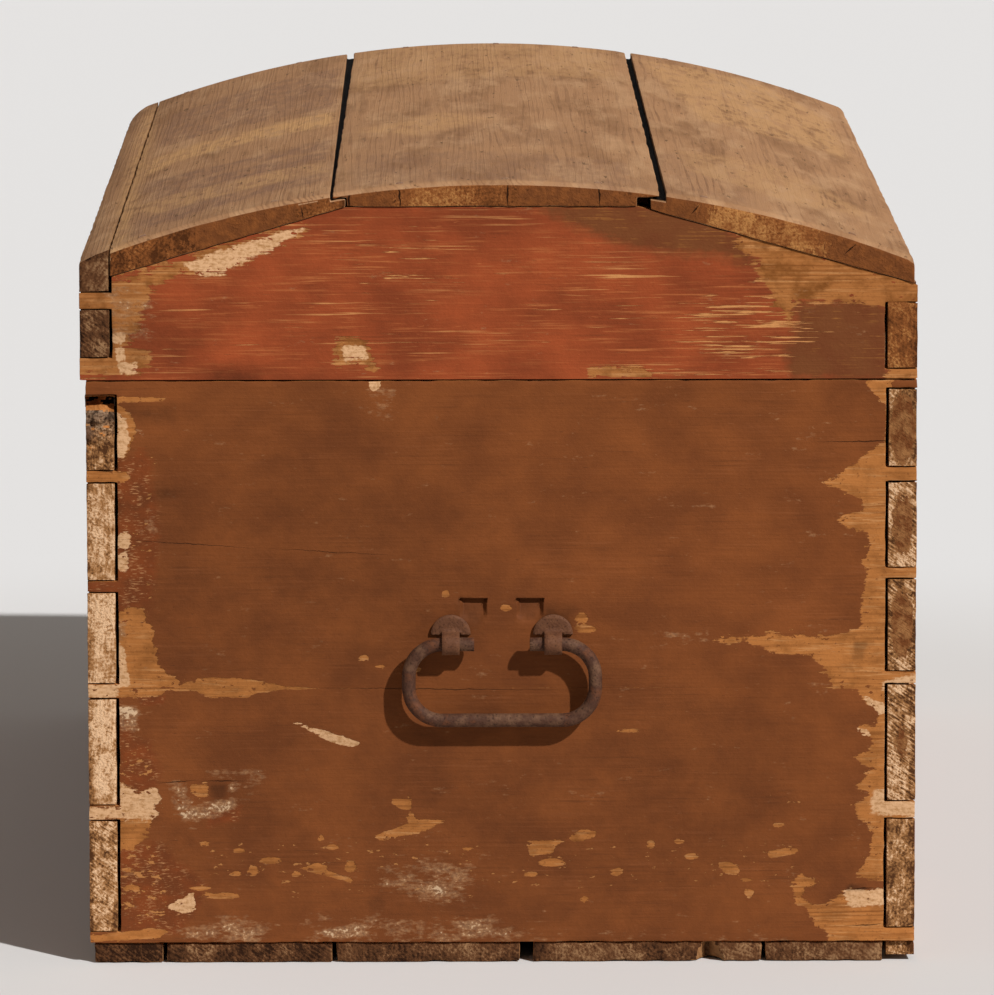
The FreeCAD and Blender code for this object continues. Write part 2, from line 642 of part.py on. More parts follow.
def lock_case():
    """Iron box on the inside of the front, open to the board, with two guides for the bolt and a
    slot in its top for the hook, and its four nails."""
    shell = box((case_left, front_inner, case_low), (case_right, case_back, lock_top))
    shell = shell.cut(
        box(
            (case_left + LOCK_PLATE, front_inner - OVERRUN, case_low + LOCK_PLATE),
            (case_right - LOCK_PLATE, case_back - LOCK_PLATE, lock_top - LOCK_PLATE),
        )
    )
    guides = []
    for x in (guide_left, guide_right):
        guides.append(
            box(
                (x, front_inner, bolt_low - GUIDE_INSET),
                (x + GUIDE_THICKNESS, case_back - LOCK_PLATE, bolt_low + BOLT_HEIGHT + GUIDE_INSET),
            )
        )
    flanges = []
    for x in (case_left - LOCK_FLANGE, case_right):
        flanges.append(box((x, front_inner, case_low), (x + LOCK_FLANGE, front_inner + LOCK_PLATE, lock_top)))
    shell = shell.fuse(guides + flanges).removeSplitter()
    passage = box(
        (guide_left - OVERRUN, bolt_front - BOLT_CLEARANCE, bolt_low - BOLT_CLEARANCE),
        (
            guide_right + GUIDE_THICKNESS + OVERRUN,
            bolt_front + BOLT_WIDTH + BOLT_CLEARANCE,
            bolt_low + BOLT_HEIGHT + BOLT_CLEARANCE,
        ),
    )
    slot = box(
        (hook_x - HOOK_WIDTH / 2 - HOOK_GAP, front_inner - OVERRUN, lock_top - LOCK_PLATE - OVERRUN),
        (bolt_tip + HOOK_GAP, hook_back + HOOK_GAP, lock_top + OVERRUN),
    )
    nails = []
    for x in (case_left - LOCK_FLANGE / 2, case_right + LOCK_FLANGE / 2):
        for z in (case_low + LOCK_FLANGE, lock_top - LOCK_FLANGE):
            place = (x, front_inner + LOCK_PLATE + NAIL_HEAD_HEIGHT, z)
            nails.append(nail(place, (0, 1, 0), IRON_NAIL_LENGTH))
    return drive(nails, shell.cut(passage).cut(slot)), nails


def lock_bolt():
    """Sliding bar that closes over the hook's foot, with the lug that the key pushes."""
    bolt_back = bolt_front + BOLT_WIDTH
    bar = box((bolt_tip, bolt_front, bolt_low), (bolt_heel, bolt_back, bolt_low + BOLT_HEIGHT))
    lug = box((lug_left, bolt_front, bolt_low - BOLT_LUG_DROP), (lug_right, bolt_back, bolt_low))
    return bar.fuse(lug).removeSplitter()


def lid_hook():
    """Forged hook on the inside of the lid's front rail, and its two nails."""
    half = HOOK_WIDTH / 2
    plate_low = lid_base + HOOK_BOSS_RISE
    plate = box(
        (hook_x - HOOK_PLATE_WIDTH / 2, rail_inner, plate_low),
        (hook_x + HOOK_PLATE_WIDTH / 2, rail_inner + HOOK_PLATE_THICKNESS, plate_low + HOOK_PLATE_HEIGHT),
    )
    boss = box((hook_x - half, rail_inner, plate_low), (hook_x + half, hook_back, plate_low + HOOK_BOSS_HEIGHT))
    shank = box((hook_x - half, hook_front, hook_low), (hook_x + half, hook_back, plate_low + HOOK_BOSS_HEIGHT))
    foot = box(
        (hook_x - half, hook_front, hook_low),
        (hook_x + half + HOOK_FOOT_LENGTH, hook_back, hook_low + HOOK_FOOT_HEIGHT),
    )
    nails = []
    for hand in (-1, 1):
        x = hook_x + hand * (HOOK_PLATE_WIDTH - NAIL_HEAD) / 2 - hand * HOOK_PLATE_THICKNESS
        y = rail_inner + HOOK_PLATE_THICKNESS + NAIL_HEAD_HEIGHT
        nails.append(nail((x, y, plate_low + HOOK_PLATE_HEIGHT / 2), (0, 1, 0), IRON_NAIL_LENGTH))
    return drive(nails, plate.fuse([boss, shank, foot]).removeSplitter()), nails


# Fit the iron to the boards, and write every piece
pieces = {}
for name, side in (("right", 1), ("left", -1)):
    wall, staples = fit_handle(side, end_wall(side))
    lower, upper = split(wall, HANDLE_HEIGHT - HANDLE_SEAM_DROP)
    pieces[f"{name}_end_lower_board"] = drive(bottom_nails, lower)
    pieces[f"{name}_end_upper_board"] = upper
    pieces[f"{name}_handle_front_staple"], pieces[f"{name}_handle_back_staple"] = staples
    pieces[f"{name}_handle_bail"] = bail(side)
    pieces[f"lid_{name}_gable"] = drive(lid_nails, gable(side))
    pieces[f"{name}_hinge_body_strap"] = hinges[name]["body"]
    pieces[f"{name}_hinge_lid_strap"] = hinges[name]["lid"]
    pieces[f"{name}_hinge_pin"] = hinges[name]["pin"]

pieces["escutcheon"], escutcheon_nails = escutcheon()
pieces["lock_case"], lock_nails = lock_case()
pieces["lid_hook"], hook_nails = lid_hook()
pieces["lock_bolt"] = lock_bolt()

keyhole_bore = keyhole(-half_width - OVERRUN, front_inner + OVERRUN)
pieces["front_upper_board"] = drive(escutcheon_nails + lock_nails, front_upper.cut(keyhole_bore))
pieces["front_lower_board"] = drive(bottom_nails, front_lower)
pieces["back_upper_board"] = drive(hinge_body_nails, back_upper)
pieces["back_lower_board"] = drive(hinge_body_nails, back_lower)
for number, board in enumerate(bottom_boards, 1):
    pieces[f"bottom_board_{number}"] = drive(bottom_nails, board)

pieces["lid_front_rail"] = drive(hook_nails, front_rail)
pieces["lid_back_rail"] = drive(hinge_lid_nails + back_plank_nails, back_rail)
pieces["lid_front_plank"] = drive(front_plank_nails, front_plank)
pieces["lid_middle_plank"] = drive(middle_plank_nails, middle_plank)
pieces["lid_back_plank"] = drive(back_plank_nails, back_plank)

nail_groups = {
    "bottom_nails": bottom_nails,
    "lid_nails": lid_nails,
    "hinge_body_nails": hinge_body_nails,
    "hinge_lid_nails": hinge_lid_nails,
    "escutcheon_nails": escutcheon_nails,
    "lock_nails": lock_nails,
    "hook_nails": hook_nails,
}
for name, group in nail_groups.items():
    pieces[name] = Part.makeCompound(group)

os.makedirs("parts", exist_ok=True)
for name, shape in pieces.items():
    solids = shape.Solids
    Part.makeCompound(solids).exportStep(f"parts/{name}.step")
    print(f"{name}: {len(solids)} solid(s), {shape.Volume / 1000:.1f} cm3, valid {shape.isValid()}")
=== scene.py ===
"""Looks of the dome-top trunk: worn paint, raw end grain, a weathered lid and rusty iron.

Lengths are in millimetres, but for those that are said to be in metres.
"""

import logging
import math
import random
from dataclasses import dataclass
from enum import Enum
from functools import partial
from typing import Any, Callable, ClassVar, Sequence

import bmesh
import bpy
import numpy as np
from bmesh.types import BMEdge, BMesh, BMFace, BMVert
from bpy.types import Material, Mesh, Node, NodeSocket, NodeTree, Object
from mathutils import Matrix, Vector, noise


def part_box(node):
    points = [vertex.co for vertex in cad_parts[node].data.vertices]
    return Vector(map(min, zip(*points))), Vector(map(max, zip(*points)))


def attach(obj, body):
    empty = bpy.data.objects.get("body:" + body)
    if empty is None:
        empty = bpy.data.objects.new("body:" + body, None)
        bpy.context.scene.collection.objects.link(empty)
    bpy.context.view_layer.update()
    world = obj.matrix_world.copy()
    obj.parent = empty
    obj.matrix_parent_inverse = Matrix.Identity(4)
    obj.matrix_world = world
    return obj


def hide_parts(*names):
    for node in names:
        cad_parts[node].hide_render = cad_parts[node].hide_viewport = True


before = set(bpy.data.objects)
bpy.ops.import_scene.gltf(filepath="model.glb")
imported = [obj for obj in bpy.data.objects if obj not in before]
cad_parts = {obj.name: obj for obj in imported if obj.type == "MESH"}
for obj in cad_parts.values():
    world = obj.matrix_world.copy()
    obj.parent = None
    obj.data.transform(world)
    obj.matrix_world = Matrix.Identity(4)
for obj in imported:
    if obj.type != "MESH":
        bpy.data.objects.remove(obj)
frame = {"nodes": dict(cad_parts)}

LOG = logging.getLogger("trunk")
MM = 0.001

# Millimetres inside an outline, for a place far outside it and for one well within it
OUTSIDE = -25.0
INSIDE = 12.0
# How far a vertex must look outward to be on a board's painted face
FACING = 0.3

Span = tuple[float, float]
Place = tuple[float, float, float]
Outline = tuple[Span, ...]
# x and y of an outline's corners in turn, in the photograph's pixels
Trace = tuple[int, ...]
# An area's strength, the width of its soft border in millimetres, and its outline
Area = tuple[float, float, Trace]
Keeper = Callable[[float, float, int], bool]


class Grain(Enum):
    """Which way a board's fibres run."""

    ALONG = 0
    ACROSS = 1


class Coat(Enum):
    """What shows at a worn place of a painted board. The first three are outlines with a crisp
    edge, and the others are areas where something is more or less dense."""

    BARE = "bare"
    CREAM = "cream"
    UNDER = "under"
    SCUFF = "scuff"
    CHIPS = "chips"
    # Grime, which also carries painted shade where the end wall's areas put it
    GRIME = "grime"

    @property
    def crisp(self) -> bool:
        """Tells an outline from an area."""
        return self in (Coat.BARE, Coat.CREAM, Coat.UNDER)


@dataclass(frozen=True)
class Patch:
    """One worn place on a board's face. Two points are the corners of an oval's box. An area's
    border is soft over so many millimetres."""

    coat: Coat
    outline: Outline
    strength: float = 1.0
    soft: float = 6.0
    firm_width: ClassVar[float] = 16.0
    firmest: ClassVar[float] = 3.5

    @classmethod
    def oval(cls, coat: Coat, middle: Span, half: Span, *density: float) -> "Patch":
        """An oval, by its middle and half its size, with an area's strength and soft border."""
        low, high = ((middle[0] + s * half[0], middle[1] + s * half[1]) for s in (-1, 1))
        return cls(coat, (low, high), *density)

    def hold(self) -> float:
        """How firmly the outline holds against tearing; a narrow one holds more.

        Returns:
            A factor for the distances inside it.
        """
        corners = np.array(self.outline, float)
        width = np.ptp(corners, axis=0).min()
        if len(corners) > 2:
            after = np.roll(corners, -1, axis=0)
            area = abs(np.sum(corners[:, 0] * after[:, 1] - after[:, 0] * corners[:, 1])) / 2
            width = 2.6 * area / np.linalg.norm(after - corners, axis=1).sum()
        return float(np.clip(self.firm_width / width, 1.0, self.firmest))


@dataclass(frozen=True)
class Crack:
    """A split that follows the grain: its ends on the face, and its width."""

    start: Span
    end: Span
    width: float


@dataclass(frozen=True)
class TailEnd:
    """The sawn end of one dovetail: how pale it is, where its heart lies from its middle in
    millimetres, how rotten it is, how strong its saw marks are and how much of it paint covers."""

    pale: float
    heart: Span
    rot: float = 0.0
    hatch: float = 0.0
    paint: float = 0.0


@dataclass(frozen=True)
class Sizes:
    """The construction's own sizes that the boards are built to."""

    half_length: float = 550.0
    half_width: float = 300.0
    wall_low: float = 15.0
    wall_height: float = 412.0
    board: float = 21.0
    shoulder_gap: float = 1.5
    clearance: float = 0.3
    flare: float = 3.0
    front_tail_shares: Outline = (
        (0.021, 0.220), (0.247, 0.437), (0.464, 0.626), (0.647, 0.820), (0.842, 0.975),
    )
    back_tail_shares: Outline = (
        (0.025, 0.220), (0.252, 0.460), (0.483, 0.647), (0.668, 0.819), (0.846, 0.984),
    )
    lid_base: float = 427.8
    lid_side: float = 86.5
    lid_front: float = -304.0
    lid_back: float = 300.0
    crown: float = 571.8
    dome_radius: float = 821.75
    rail: float = 22.0
    front_rail_tail_shares: Outline = ((0.187, 0.592), (0.736, 1.0))
    back_rail_tail_shares: Outline = ((0.083, 0.635),)
    plank: float = 19.0
    front_plank_edge: float = 20.0
    back_plank_edge: float = 18.5
    front_break: float = -111.9
    back_break: float = 98.0
    lap_width: float = 10.0
    lap_depth: float = 6.0
    plank_reach: float = 551.5
    notch_spacing: float = 41.0
    notch_width: float = 19.0
    notch_low: float = 248.5
    notch_top: float = 267.5
    notch_depth: float = 5.0

    @property
    def wall_top(self) -> float:
        """Height of the walls' upper edge."""
        return self.wall_low + self.wall_height

    def dome(self, y: float) -> float:
        """Height of the lid's outer surface."""
        middle = (self.lid_front + self.lid_back) / 2
        return self.crown - self.dome_radius + math.sqrt(self.dome_radius**2 - (y - middle) ** 2)

    def facets(self) -> list[Span]:
        """Finds the flat facets under the planks.

        Returns:
            Their corners from front to back, as Y and Z.
        """
        foot = self.lid_front + self.rail
        level = self.crown - self.plank
        return [
            (foot, self.dome(foot) - self.front_plank_edge),
            (self.front_break, level),
            (self.back_break, level),
            (self.lid_back, self.dome(self.lid_back) - self.back_plank_edge),
        ]

    def facet(self, y: float) -> float:
        """Height of the facets over a line along the trunk."""
        return float(np.interp(y, *zip(*self.facets())))

    def wall_tails(self, shares: Outline) -> list[Span]:
        """Heights of a wall's tails."""
        return [tuple(self.wall_low + share * self.wall_height for share in tail) for tail in shares]

    def lid_tails(self, shares: Outline) -> list[Span]:
        """Heights of a lid rail's tails; one that ends at the share of 1 runs to the top."""
        top = {1.0: self.crown}
        return [tuple(top.get(s, self.lid_base + s * self.lid_side) for s in tail) for tail in shares]


@dataclass(frozen=True)
class PhotoView:
    """The camera that the photograph was taken with, found from the trunk's corners. Its place and how
    far it sees are in metres, and its angles in degrees."""

    place: Place = (6.669, -0.0415, 1.222)
    pitch: float = 8.186
    yaw: float = 0.357
    roll: float = -0.091
    lens: float = 310.2
    sensor: float = 36.0
    width: int = 994
    height: int = 995
    clip_end: float = 100.0

    def matrix(self) -> Matrix:
        """Where the camera stands and how it is turned.

        Returns:
            The camera's matrix, in metres.
        """
        turn = Matrix.Rotation(math.radians(90 - self.yaw), 4, "Z")
        tilt = Matrix.Rotation(math.radians(90 - self.pitch), 4, "X")
        roll = Matrix.Rotation(math.radians(self.roll), 4, "Z")
        return Matrix.Translation(self.place) @ turn @ tilt @ roll

    def ray(self, x: float, y: float) -> Vector:
        """Direction through a point of the photograph."""
        focus = self.lens / self.sensor * self.width
        return self.matrix().to_3x3() @ Vector((x - self.width / 2, self.height / 2 - y, -focus))

    def on_end(self, x: float, y: float, plane: float) -> Span:
        """Finds a point of the photograph on the trunk's end.

        Args:
            x: The point's column, in pixels.
            y: Its row.
            plane: X of the face.

        Returns:
            Y and Z.
        """
        way = self.ray(x, y)
        travel = (plane * MM - self.place[0]) / way.x
        return ((self.place[1] + way.y * travel) / MM, (self.place[2] + way.z * travel) / MM)

    def on_lid(self, x: float, y: float, rounds: int = 8) -> Span:
        """Finds a point of the photograph on the lid's top.

        Args:
            x: The point's column, in pixels.
            y: Its row.
            rounds: How often the height is looked up again.

        Returns:
            X and Y.
        """
        way, level = self.ray(x, y), SIZES.crown
        for _ in range(rounds):
            travel = (level * MM - self.place[2]) / way.z
            across = (self.place[1] + way.y * travel) / MM
            level = SIZES.dome(max(SIZES.lid_front, min(SIZES.lid_back, across)))
        return ((self.place[0] + way.x * travel) / MM, across)

    def stand(self) -> None:
        """Sets up the camera."""
        data = bpy.data.cameras.new("photo_camera")
        data.lens, data.sensor_width, data.sensor_fit = self.lens, self.sensor, "HORIZONTAL"
        data.clip_end = self.clip_end
        camera = bpy.data.objects.new("photo_camera", data)
        camera.matrix_world = self.matrix()
        bpy.context.scene.collection.objects.link(camera)
        bpy.context.scene.camera = camera


SIZES = Sizes()
VIEW = PhotoView()

# Worn places of the end wall, drawn in the photograph's pixels
WALL_OUTLINES: dict[Coat, tuple[Trace, ...]] = {
    Coat.BARE: (
        (117, 614, 127, 608, 143, 608, 147, 619, 154, 627, 153, 639, 156, 657, 161, 665, 167, 674,
         181, 682, 199, 683, 199, 689, 86, 689, 86, 684, 117, 684),
        (196, 684, 198, 678, 213, 677, 242, 678, 258, 681, 285, 685, 310, 689, 196, 689),
        (181, 687, 198, 692, 207, 698, 247, 698, 253, 694, 270, 691, 300, 687),
        (86, 687, 166, 688, 164, 695, 140, 697, 86, 698),
        (120, 781, 138, 792, 158, 786, 160, 800, 155, 808, 159, 815, 150, 820, 152, 832, 135, 850,
         116, 852, 116, 820, 86, 820, 86, 806, 119, 806),
        (116, 396, 150, 397, 177, 400, 150, 402, 116, 402),
        (116, 404, 124, 408, 133, 418, 137, 432, 130, 448, 126, 459, 116, 459),
        (86, 470, 127, 472, 129, 480, 118, 484, 86, 484),
        (86, 936, 120, 933, 150, 928, 170, 931, 160, 938, 86, 943),
        (289, 720, 316, 728, 341, 736, 361, 743, 355, 747, 342, 746, 320, 737),
        (390, 798, 413, 799, 411, 811, 401, 809, 392, 804),
        (409, 811, 413, 811, 415, 819, 446, 820, 427, 831, 400, 837, 381, 841, 374, 836, 392, 830,
         409, 823),
        (295, 867, 308, 866, 318, 862, 327, 866, 328, 871, 354, 880, 352, 883, 318, 874),
        (527, 841, 546, 840, 568, 839, 556, 845, 553, 853, 540, 855, 530, 856),
        (569, 837, 582, 829, 597, 831, 596, 837, 584, 841, 571, 841), (539, 858, 564, 867),
        (610, 868, 623, 876), (524, 872, 538, 877),
        (719, 862, 730, 862, 741, 868, 738, 875, 724, 873, 719, 867),
        (744, 889, 755, 890, 750, 899, 745, 894), (739, 878, 753, 882),
        (767, 852, 785, 848, 803, 848, 795, 854, 770, 858), (771, 823, 784, 828), (646, 840, 655, 849),
        (673, 839, 687, 844), (684, 853, 699, 860), (580, 895, 589, 903), (459, 847, 476, 851),
        (231, 848, 246, 853), (200, 841, 211, 846), (259, 857, 283, 864), (247, 866, 260, 876),
        (230, 871, 243, 876), (291, 871, 301, 877), (317, 835, 325, 841), (326, 844, 340, 850),
        (344, 861, 356, 873), (190, 886, 211, 891), (203, 893, 244, 899),
        (166, 906, 180, 899, 193, 893, 196, 911, 182, 914), (617, 729, 642, 733),
        (865, 382, 892, 379, 892, 406, 884, 404, 876, 396),
        (886, 404, 886, 440, 870, 450, 850, 467, 836, 476, 822, 483, 840, 489, 862, 500, 866, 508,
         850, 513, 838, 520, 846, 528, 866, 533, 870, 545, 862, 560, 865, 575, 863, 592, 861, 606,
         860, 626, 850, 632, 832, 636, 815, 637, 790, 634, 770, 633, 740, 636, 712, 640, 716, 643,
         745, 641, 762, 648, 780, 655, 798, 653, 811, 657, 821, 667, 830, 678, 833, 689, 925, 689,
         925, 404),
        (833, 687, 858, 691, 859, 695, 868, 704, 878, 712, 875, 726, 868, 724, 856, 728, 864, 735,
         870, 738, 871, 749, 853, 756, 862, 764, 870, 767, 866, 776, 856, 787, 868, 793, 860, 803,
         853, 808, 856, 816, 871, 824, 872, 833, 871, 850, 864, 864, 856, 876, 866, 880, 925, 882,
         925, 687),
        (843, 889, 925, 888, 925, 946, 829, 946, 829, 930, 816, 928, 811, 918, 807, 907, 795, 903,
         792, 890, 791, 882, 797, 876, 802, 872, 808, 879, 812, 878, 818, 884, 806, 888, 803, 896,
         808, 904, 826, 905, 834, 898, 840, 893),
        (369, 380, 382, 379, 380, 388, 374, 393, 369, 388), (575, 612, 588, 625), (574, 625, 598, 633),
        (442, 590, 450, 598), (359, 655, 369, 662), (374, 663, 386, 668), (411, 667, 421, 672),
        (499, 605, 513, 611), (120, 868, 134, 872), (122, 884, 140, 892),
        (190, 785, 208, 784, 208, 797, 199, 797, 191, 792), (117, 532, 132, 549), (117, 552, 129, 573),
    ),
    Coat.CREAM: (
        (289, 720, 316, 728, 341, 736, 361, 743, 355, 747, 342, 746, 320, 737),
        (166, 906, 180, 899, 193, 893, 196, 911, 182, 914),
        (116, 412, 126, 420, 130, 440, 124, 459, 116, 459),
        (120, 783, 140, 792, 160, 786, 160, 818, 86, 820, 86, 806, 119, 806),
        (86, 686, 118, 688, 118, 698, 86, 698), (369, 380, 382, 379, 380, 388, 374, 393, 369, 388),
        (858, 692, 866, 696, 884, 703, 886, 712, 878, 716, 868, 704),
        (854, 727, 868, 730, 872, 738, 862, 736), (884, 680, 925, 672, 925, 690, 880, 690),
        (842, 889, 890, 888, 890, 906, 848, 906), (872, 792, 892, 790, 925, 806, 925, 820, 870, 812),
        (116, 640, 124, 648, 130, 686, 86, 690, 86, 684, 116, 684), (113, 530, 133, 575),
    ),
    Coat.UNDER: (
        (116, 457, 126, 459, 140, 448, 153, 462, 150, 476, 158, 508, 158, 546, 152, 600, 150, 614,
         143, 608, 116, 612),
        (119, 744, 135, 745, 146, 752, 152, 768, 150, 785, 140, 792, 119, 790),
        (136, 698, 166, 696, 163, 704, 142, 706), (86, 582, 124, 582, 124, 593, 86, 593),
        (117, 612, 128, 612, 127, 640, 117, 642), (205, 812, 242, 806, 238, 820, 208, 827),
        (119, 846, 160, 842, 178, 862, 206, 884, 196, 912, 176, 934, 119, 934),
        (119, 700, 136, 738, 150, 742, 160, 770, 156, 790, 119, 796),
    ),
}

# Soft areas of the end wall: scuffs, chips and grime, some of which is painted shade as marked below
WALL_AREAS: dict[Coat, tuple[Area, ...]] = {
    Coat.SCUFF: (
        (0.8, 6.0, (164, 783, 176, 780, 188, 784, 188, 800, 174, 806)),
        (0.85, 6.0, (228, 780, 265, 773, 263, 786, 244, 805, 228, 802)),
        (0.95, 6.0, (170, 798, 244, 800, 222, 817, 190, 822, 174, 818)),
        (1.4, 6.0, (174, 803, 196, 800, 199, 817, 182, 821)), (1.5, 6.0, (227, 783, 240, 794)),
        (0.5, 6.0, (200, 775, 225, 762, 250, 765, 268, 772, 262, 785, 230, 780)),
        (1.5, 6.0, (118, 706, 138, 706, 139, 731, 119, 733)),
        (0.8, 6.0, (117, 610, 128, 612, 127, 640, 117, 642)),
        (0.55, 6.0, (145, 508, 158, 508, 158, 545, 150, 548)),
        (0.8, 6.0, (134, 425, 145, 424, 146, 438, 138, 440)),
        (0.85, 18.0, (374, 860, 420, 855, 462, 868, 476, 893, 450, 905, 380, 892)),
        (1.2, 16.0, (432, 882, 448, 884, 446, 898, 430, 896)),
        (0.9, 18.0, (300, 921, 340, 916, 410, 920, 480, 915, 512, 926, 512, 945, 300, 945)),
        (1.2, 20.0, (425, 924, 450, 922, 452, 938, 428, 940)),
        (0.9, 18.0, (182, 922, 230, 918, 272, 928, 262, 945, 180, 945)),
        (0.45, 6.0, (350, 384, 395, 382, 398, 420, 380, 432, 356, 420)),
        (0.4, 6.0, (512, 926, 640, 932, 800, 926, 805, 945, 512, 945)),
        (0.4, 6.0, (845, 820, 862, 822, 866, 846, 848, 848)),
        (0.5, 6.0, (660, 630, 708, 632, 712, 643, 665, 644)),
    ),
    Coat.CHIPS: (
        (0.75, 14.0, (190, 836, 480, 836, 480, 905, 190, 905)),
        (0.7, 14.0, (480, 836, 800, 836, 800, 895, 480, 895)),
        (0.7, 6.0, (116, 450, 160, 450, 160, 600, 116, 600)), (1.0, 10.0, (112, 738, 160, 802)),
        (1.15, 16.0, (112, 842, 176, 934)), (0.8, 6.0, (760, 790, 802, 792, 800, 808, 764, 806)),
    ),
    Coat.GRIME: (
        # Painted shade: the two broad soft areas on this line, and the low wide one at the end of the next,
        # make the wall darker towards the left and the bottom
        (0.28, 110.0, (60, 440, 520, 760)), (0.27, 110.0, (60, 640, 900, 1000)),
        (0.1, 20.0, (838, 392, 950, 960)), (0.12, 60.0, (540, 880, 830, 960)),
        (0.5, 18.0, (121, 405, 172, 406, 174, 420, 140, 424, 126, 418)),
        (0.6, 14.0, (148, 486, 182, 502)), (0.6, 12.0, (540, 604, 576, 607, 574, 636, 542, 636)),
        # Painted shade: these two darken the chopped notches over the handle
        (0.5, 9.0, (455, 599, 488, 601, 479, 632, 457, 632)),
        (0.4, 9.0, (514, 596, 542, 598, 537, 620, 518, 620)),
        (0.6, 9.0, (208, 783, 228, 783, 226, 800, 212, 802)),
        (0.5, 6.0, (853, 640, 868, 642, 864, 660, 852, 660)),
        (0.6, 6.0, (848, 884, 866, 886, 866, 891, 846, 891)), (0.5, 8.0, (364, 894, 388, 914)),
    ),
}


# Worn places of the lid's end, drawn in the photograph's pixels
GABLE_OUTLINES: dict[Coat, tuple[Trace, ...]] = {
    Coat.BARE: (
        (76, 281, 110, 281, 140, 273, 173, 265, 182, 274, 163, 285, 146, 293, 144, 310, 140, 327,
         133, 334, 127, 348, 150, 352, 150, 367, 137, 376, 76, 376),
        (173, 266, 194, 257, 217, 246, 244, 240, 267, 234, 290, 230, 310, 226, 299, 234, 286, 243,
         267, 253, 242, 262, 225, 274, 202, 276, 184, 272),
        (335, 341, 352, 339, 366, 342, 373, 360, 362, 363, 350, 360, 340, 368, 334, 362),
        (366, 366, 380, 372),
        (733, 243, 745, 232, 800, 244, 850, 260, 925, 280, 925, 308, 880, 309, 862, 305, 835, 302,
         800, 300, 778, 284, 758, 264),
        (589, 369, 612, 366, 650, 369, 652, 377, 589, 377), (886, 366, 925, 366, 925, 380, 886, 380),
        (752, 262, 780, 270, 812, 280, 812, 296, 796, 304, 790, 326, 776, 306),
    ),
    Coat.CREAM: (
        (184, 265, 217, 252, 244, 243, 280, 233, 306, 227, 290, 238, 270, 252, 242, 262, 225, 274,
         202, 276),
        (112, 332, 126, 334, 124, 344, 112, 344), (115, 347, 124, 347, 126, 360, 117, 362),
        (117, 362, 138, 362, 138, 374, 120, 374), (340, 345, 364, 346, 368, 358, 345, 360),
    ),
    Coat.UNDER: (
        (530, 204, 640, 202, 700, 214, 748, 236, 764, 266, 738, 264, 712, 256, 690, 256, 655, 252,
         620, 244, 580, 230),
        (786, 300, 830, 300, 862, 296, 892, 302, 892, 380, 790, 380, 784, 350, 796, 326),
    ),
}

GABLE_AREAS: dict[Coat, tuple[Area, ...]] = {
    Coat.GRIME: (
        (0.3, 16.0, (96, 318, 206, 358)), (0.6, 12.0, (200, 366, 270, 388)),
        (0.16, 12.0, (76, 268, 150, 386)),
    ),
    Coat.CHIPS: (
        (0.95, 30.0, (280, 222, 440, 222, 480, 292, 360, 296)),
        (0.55, 20.0, (150, 285, 560, 285, 560, 376, 150, 376)),
        (0.5, 20.0, (470, 240, 700, 250, 700, 360, 470, 360)), (1.2, 34.0, (672, 266, 830, 376)),
        (1.2, 14.0, (785, 262, 840, 280, 830, 300, 785, 295)),
        (1.1, 8.0, (586, 362, 800, 366, 800, 378, 586, 378)),
    ),
    Coat.SCUFF: (
        (0.7, 12.0, (100, 280, 156, 350)),
    ),
}

# Splits in the end wall, in the photograph's pixels
WALL_CRACKS: tuple[Crack, ...] = (
    Crack((114, 539), (262, 549), 0.7),
    Crack((258, 548), (402, 556), 0.6),
    Crack((296, 688), (580, 690), 0.8),
    Crack((806, 442), (930, 441), 1.3),
    Crack((156, 784), (200, 780), 1.1),
    Crack((198, 781), (248, 781), 1.2),
    Crack((842, 926), (890, 924), 1.3),
    Crack((848, 889), (880, 888), 1.2),
)

# Splits in the planks' sawn ends, in the photograph's pixels
PLANK_CHECKS: tuple[Crack, ...] = (
    Crack((348, 184), (349, 217), 2.4),
    Crack((398, 178), (401, 214), 1.8),
    Crack((507, 174), (508, 214), 2.0),
    Crack((598, 176), (600, 212), 1.8),
    Crack((700, 203), (690, 216), 1.2),
    Crack((858, 243), (842, 256), 1.2),
    Crack((300, 205), (304, 222), 1.2),
)

# Places on the lid that hands rubbed tan, or that a grey bloom covers, in the photograph's pixels
LID_SPOTS: tuple[tuple[str, float, Trace], ...] = (
    ("bloom", 0.9, (112, 246, 170, 222, 330, 180, 335, 150, 240, 168, 160, 190, 124, 222)),
    ("bloom", 0.8, (150, 150, 170, 116, 344, 66, 339, 106, 250, 124, 165, 146)),
    ("bloom", 0.9, (128, 186, 150, 182, 250, 158, 336, 138, 336, 148, 240, 166, 140, 196)),
    ("rubbed", 1.0, (144, 164, 176, 150, 250, 130, 335, 112, 336, 124, 250, 142, 180, 160, 146, 176)),
    ("rubbed", 0.7, (118, 212, 160, 198, 230, 182, 326, 160, 328, 172, 220, 196, 150, 216)),
    ("rubbed", 0.8, (104, 262, 118, 200, 142, 118, 158, 104, 150, 150, 128, 245)),
    ("bloom", 0.6, (350, 188, 640, 190, 630, 164, 352, 156)),
    ("bloom", 0.4, (356, 140, 480, 124, 600, 130, 612, 150, 470, 146, 354, 158)),
    ("rubbed", 0.6, (352, 132, 440, 112, 500, 118, 420, 136)),
    ("rubbed", 0.5, (360, 52, 610, 50, 620, 80, 352, 92)),
    ("rubbed", 0.7, (640, 60, 760, 84, 830, 120, 850, 160, 700, 120)),
    ("rubbed", 0.5, (676, 150, 780, 166, 880, 220, 800, 206, 690, 172)),
    ("bloom", 0.5, (660, 192, 760, 208, 740, 164, 650, 150)),
)

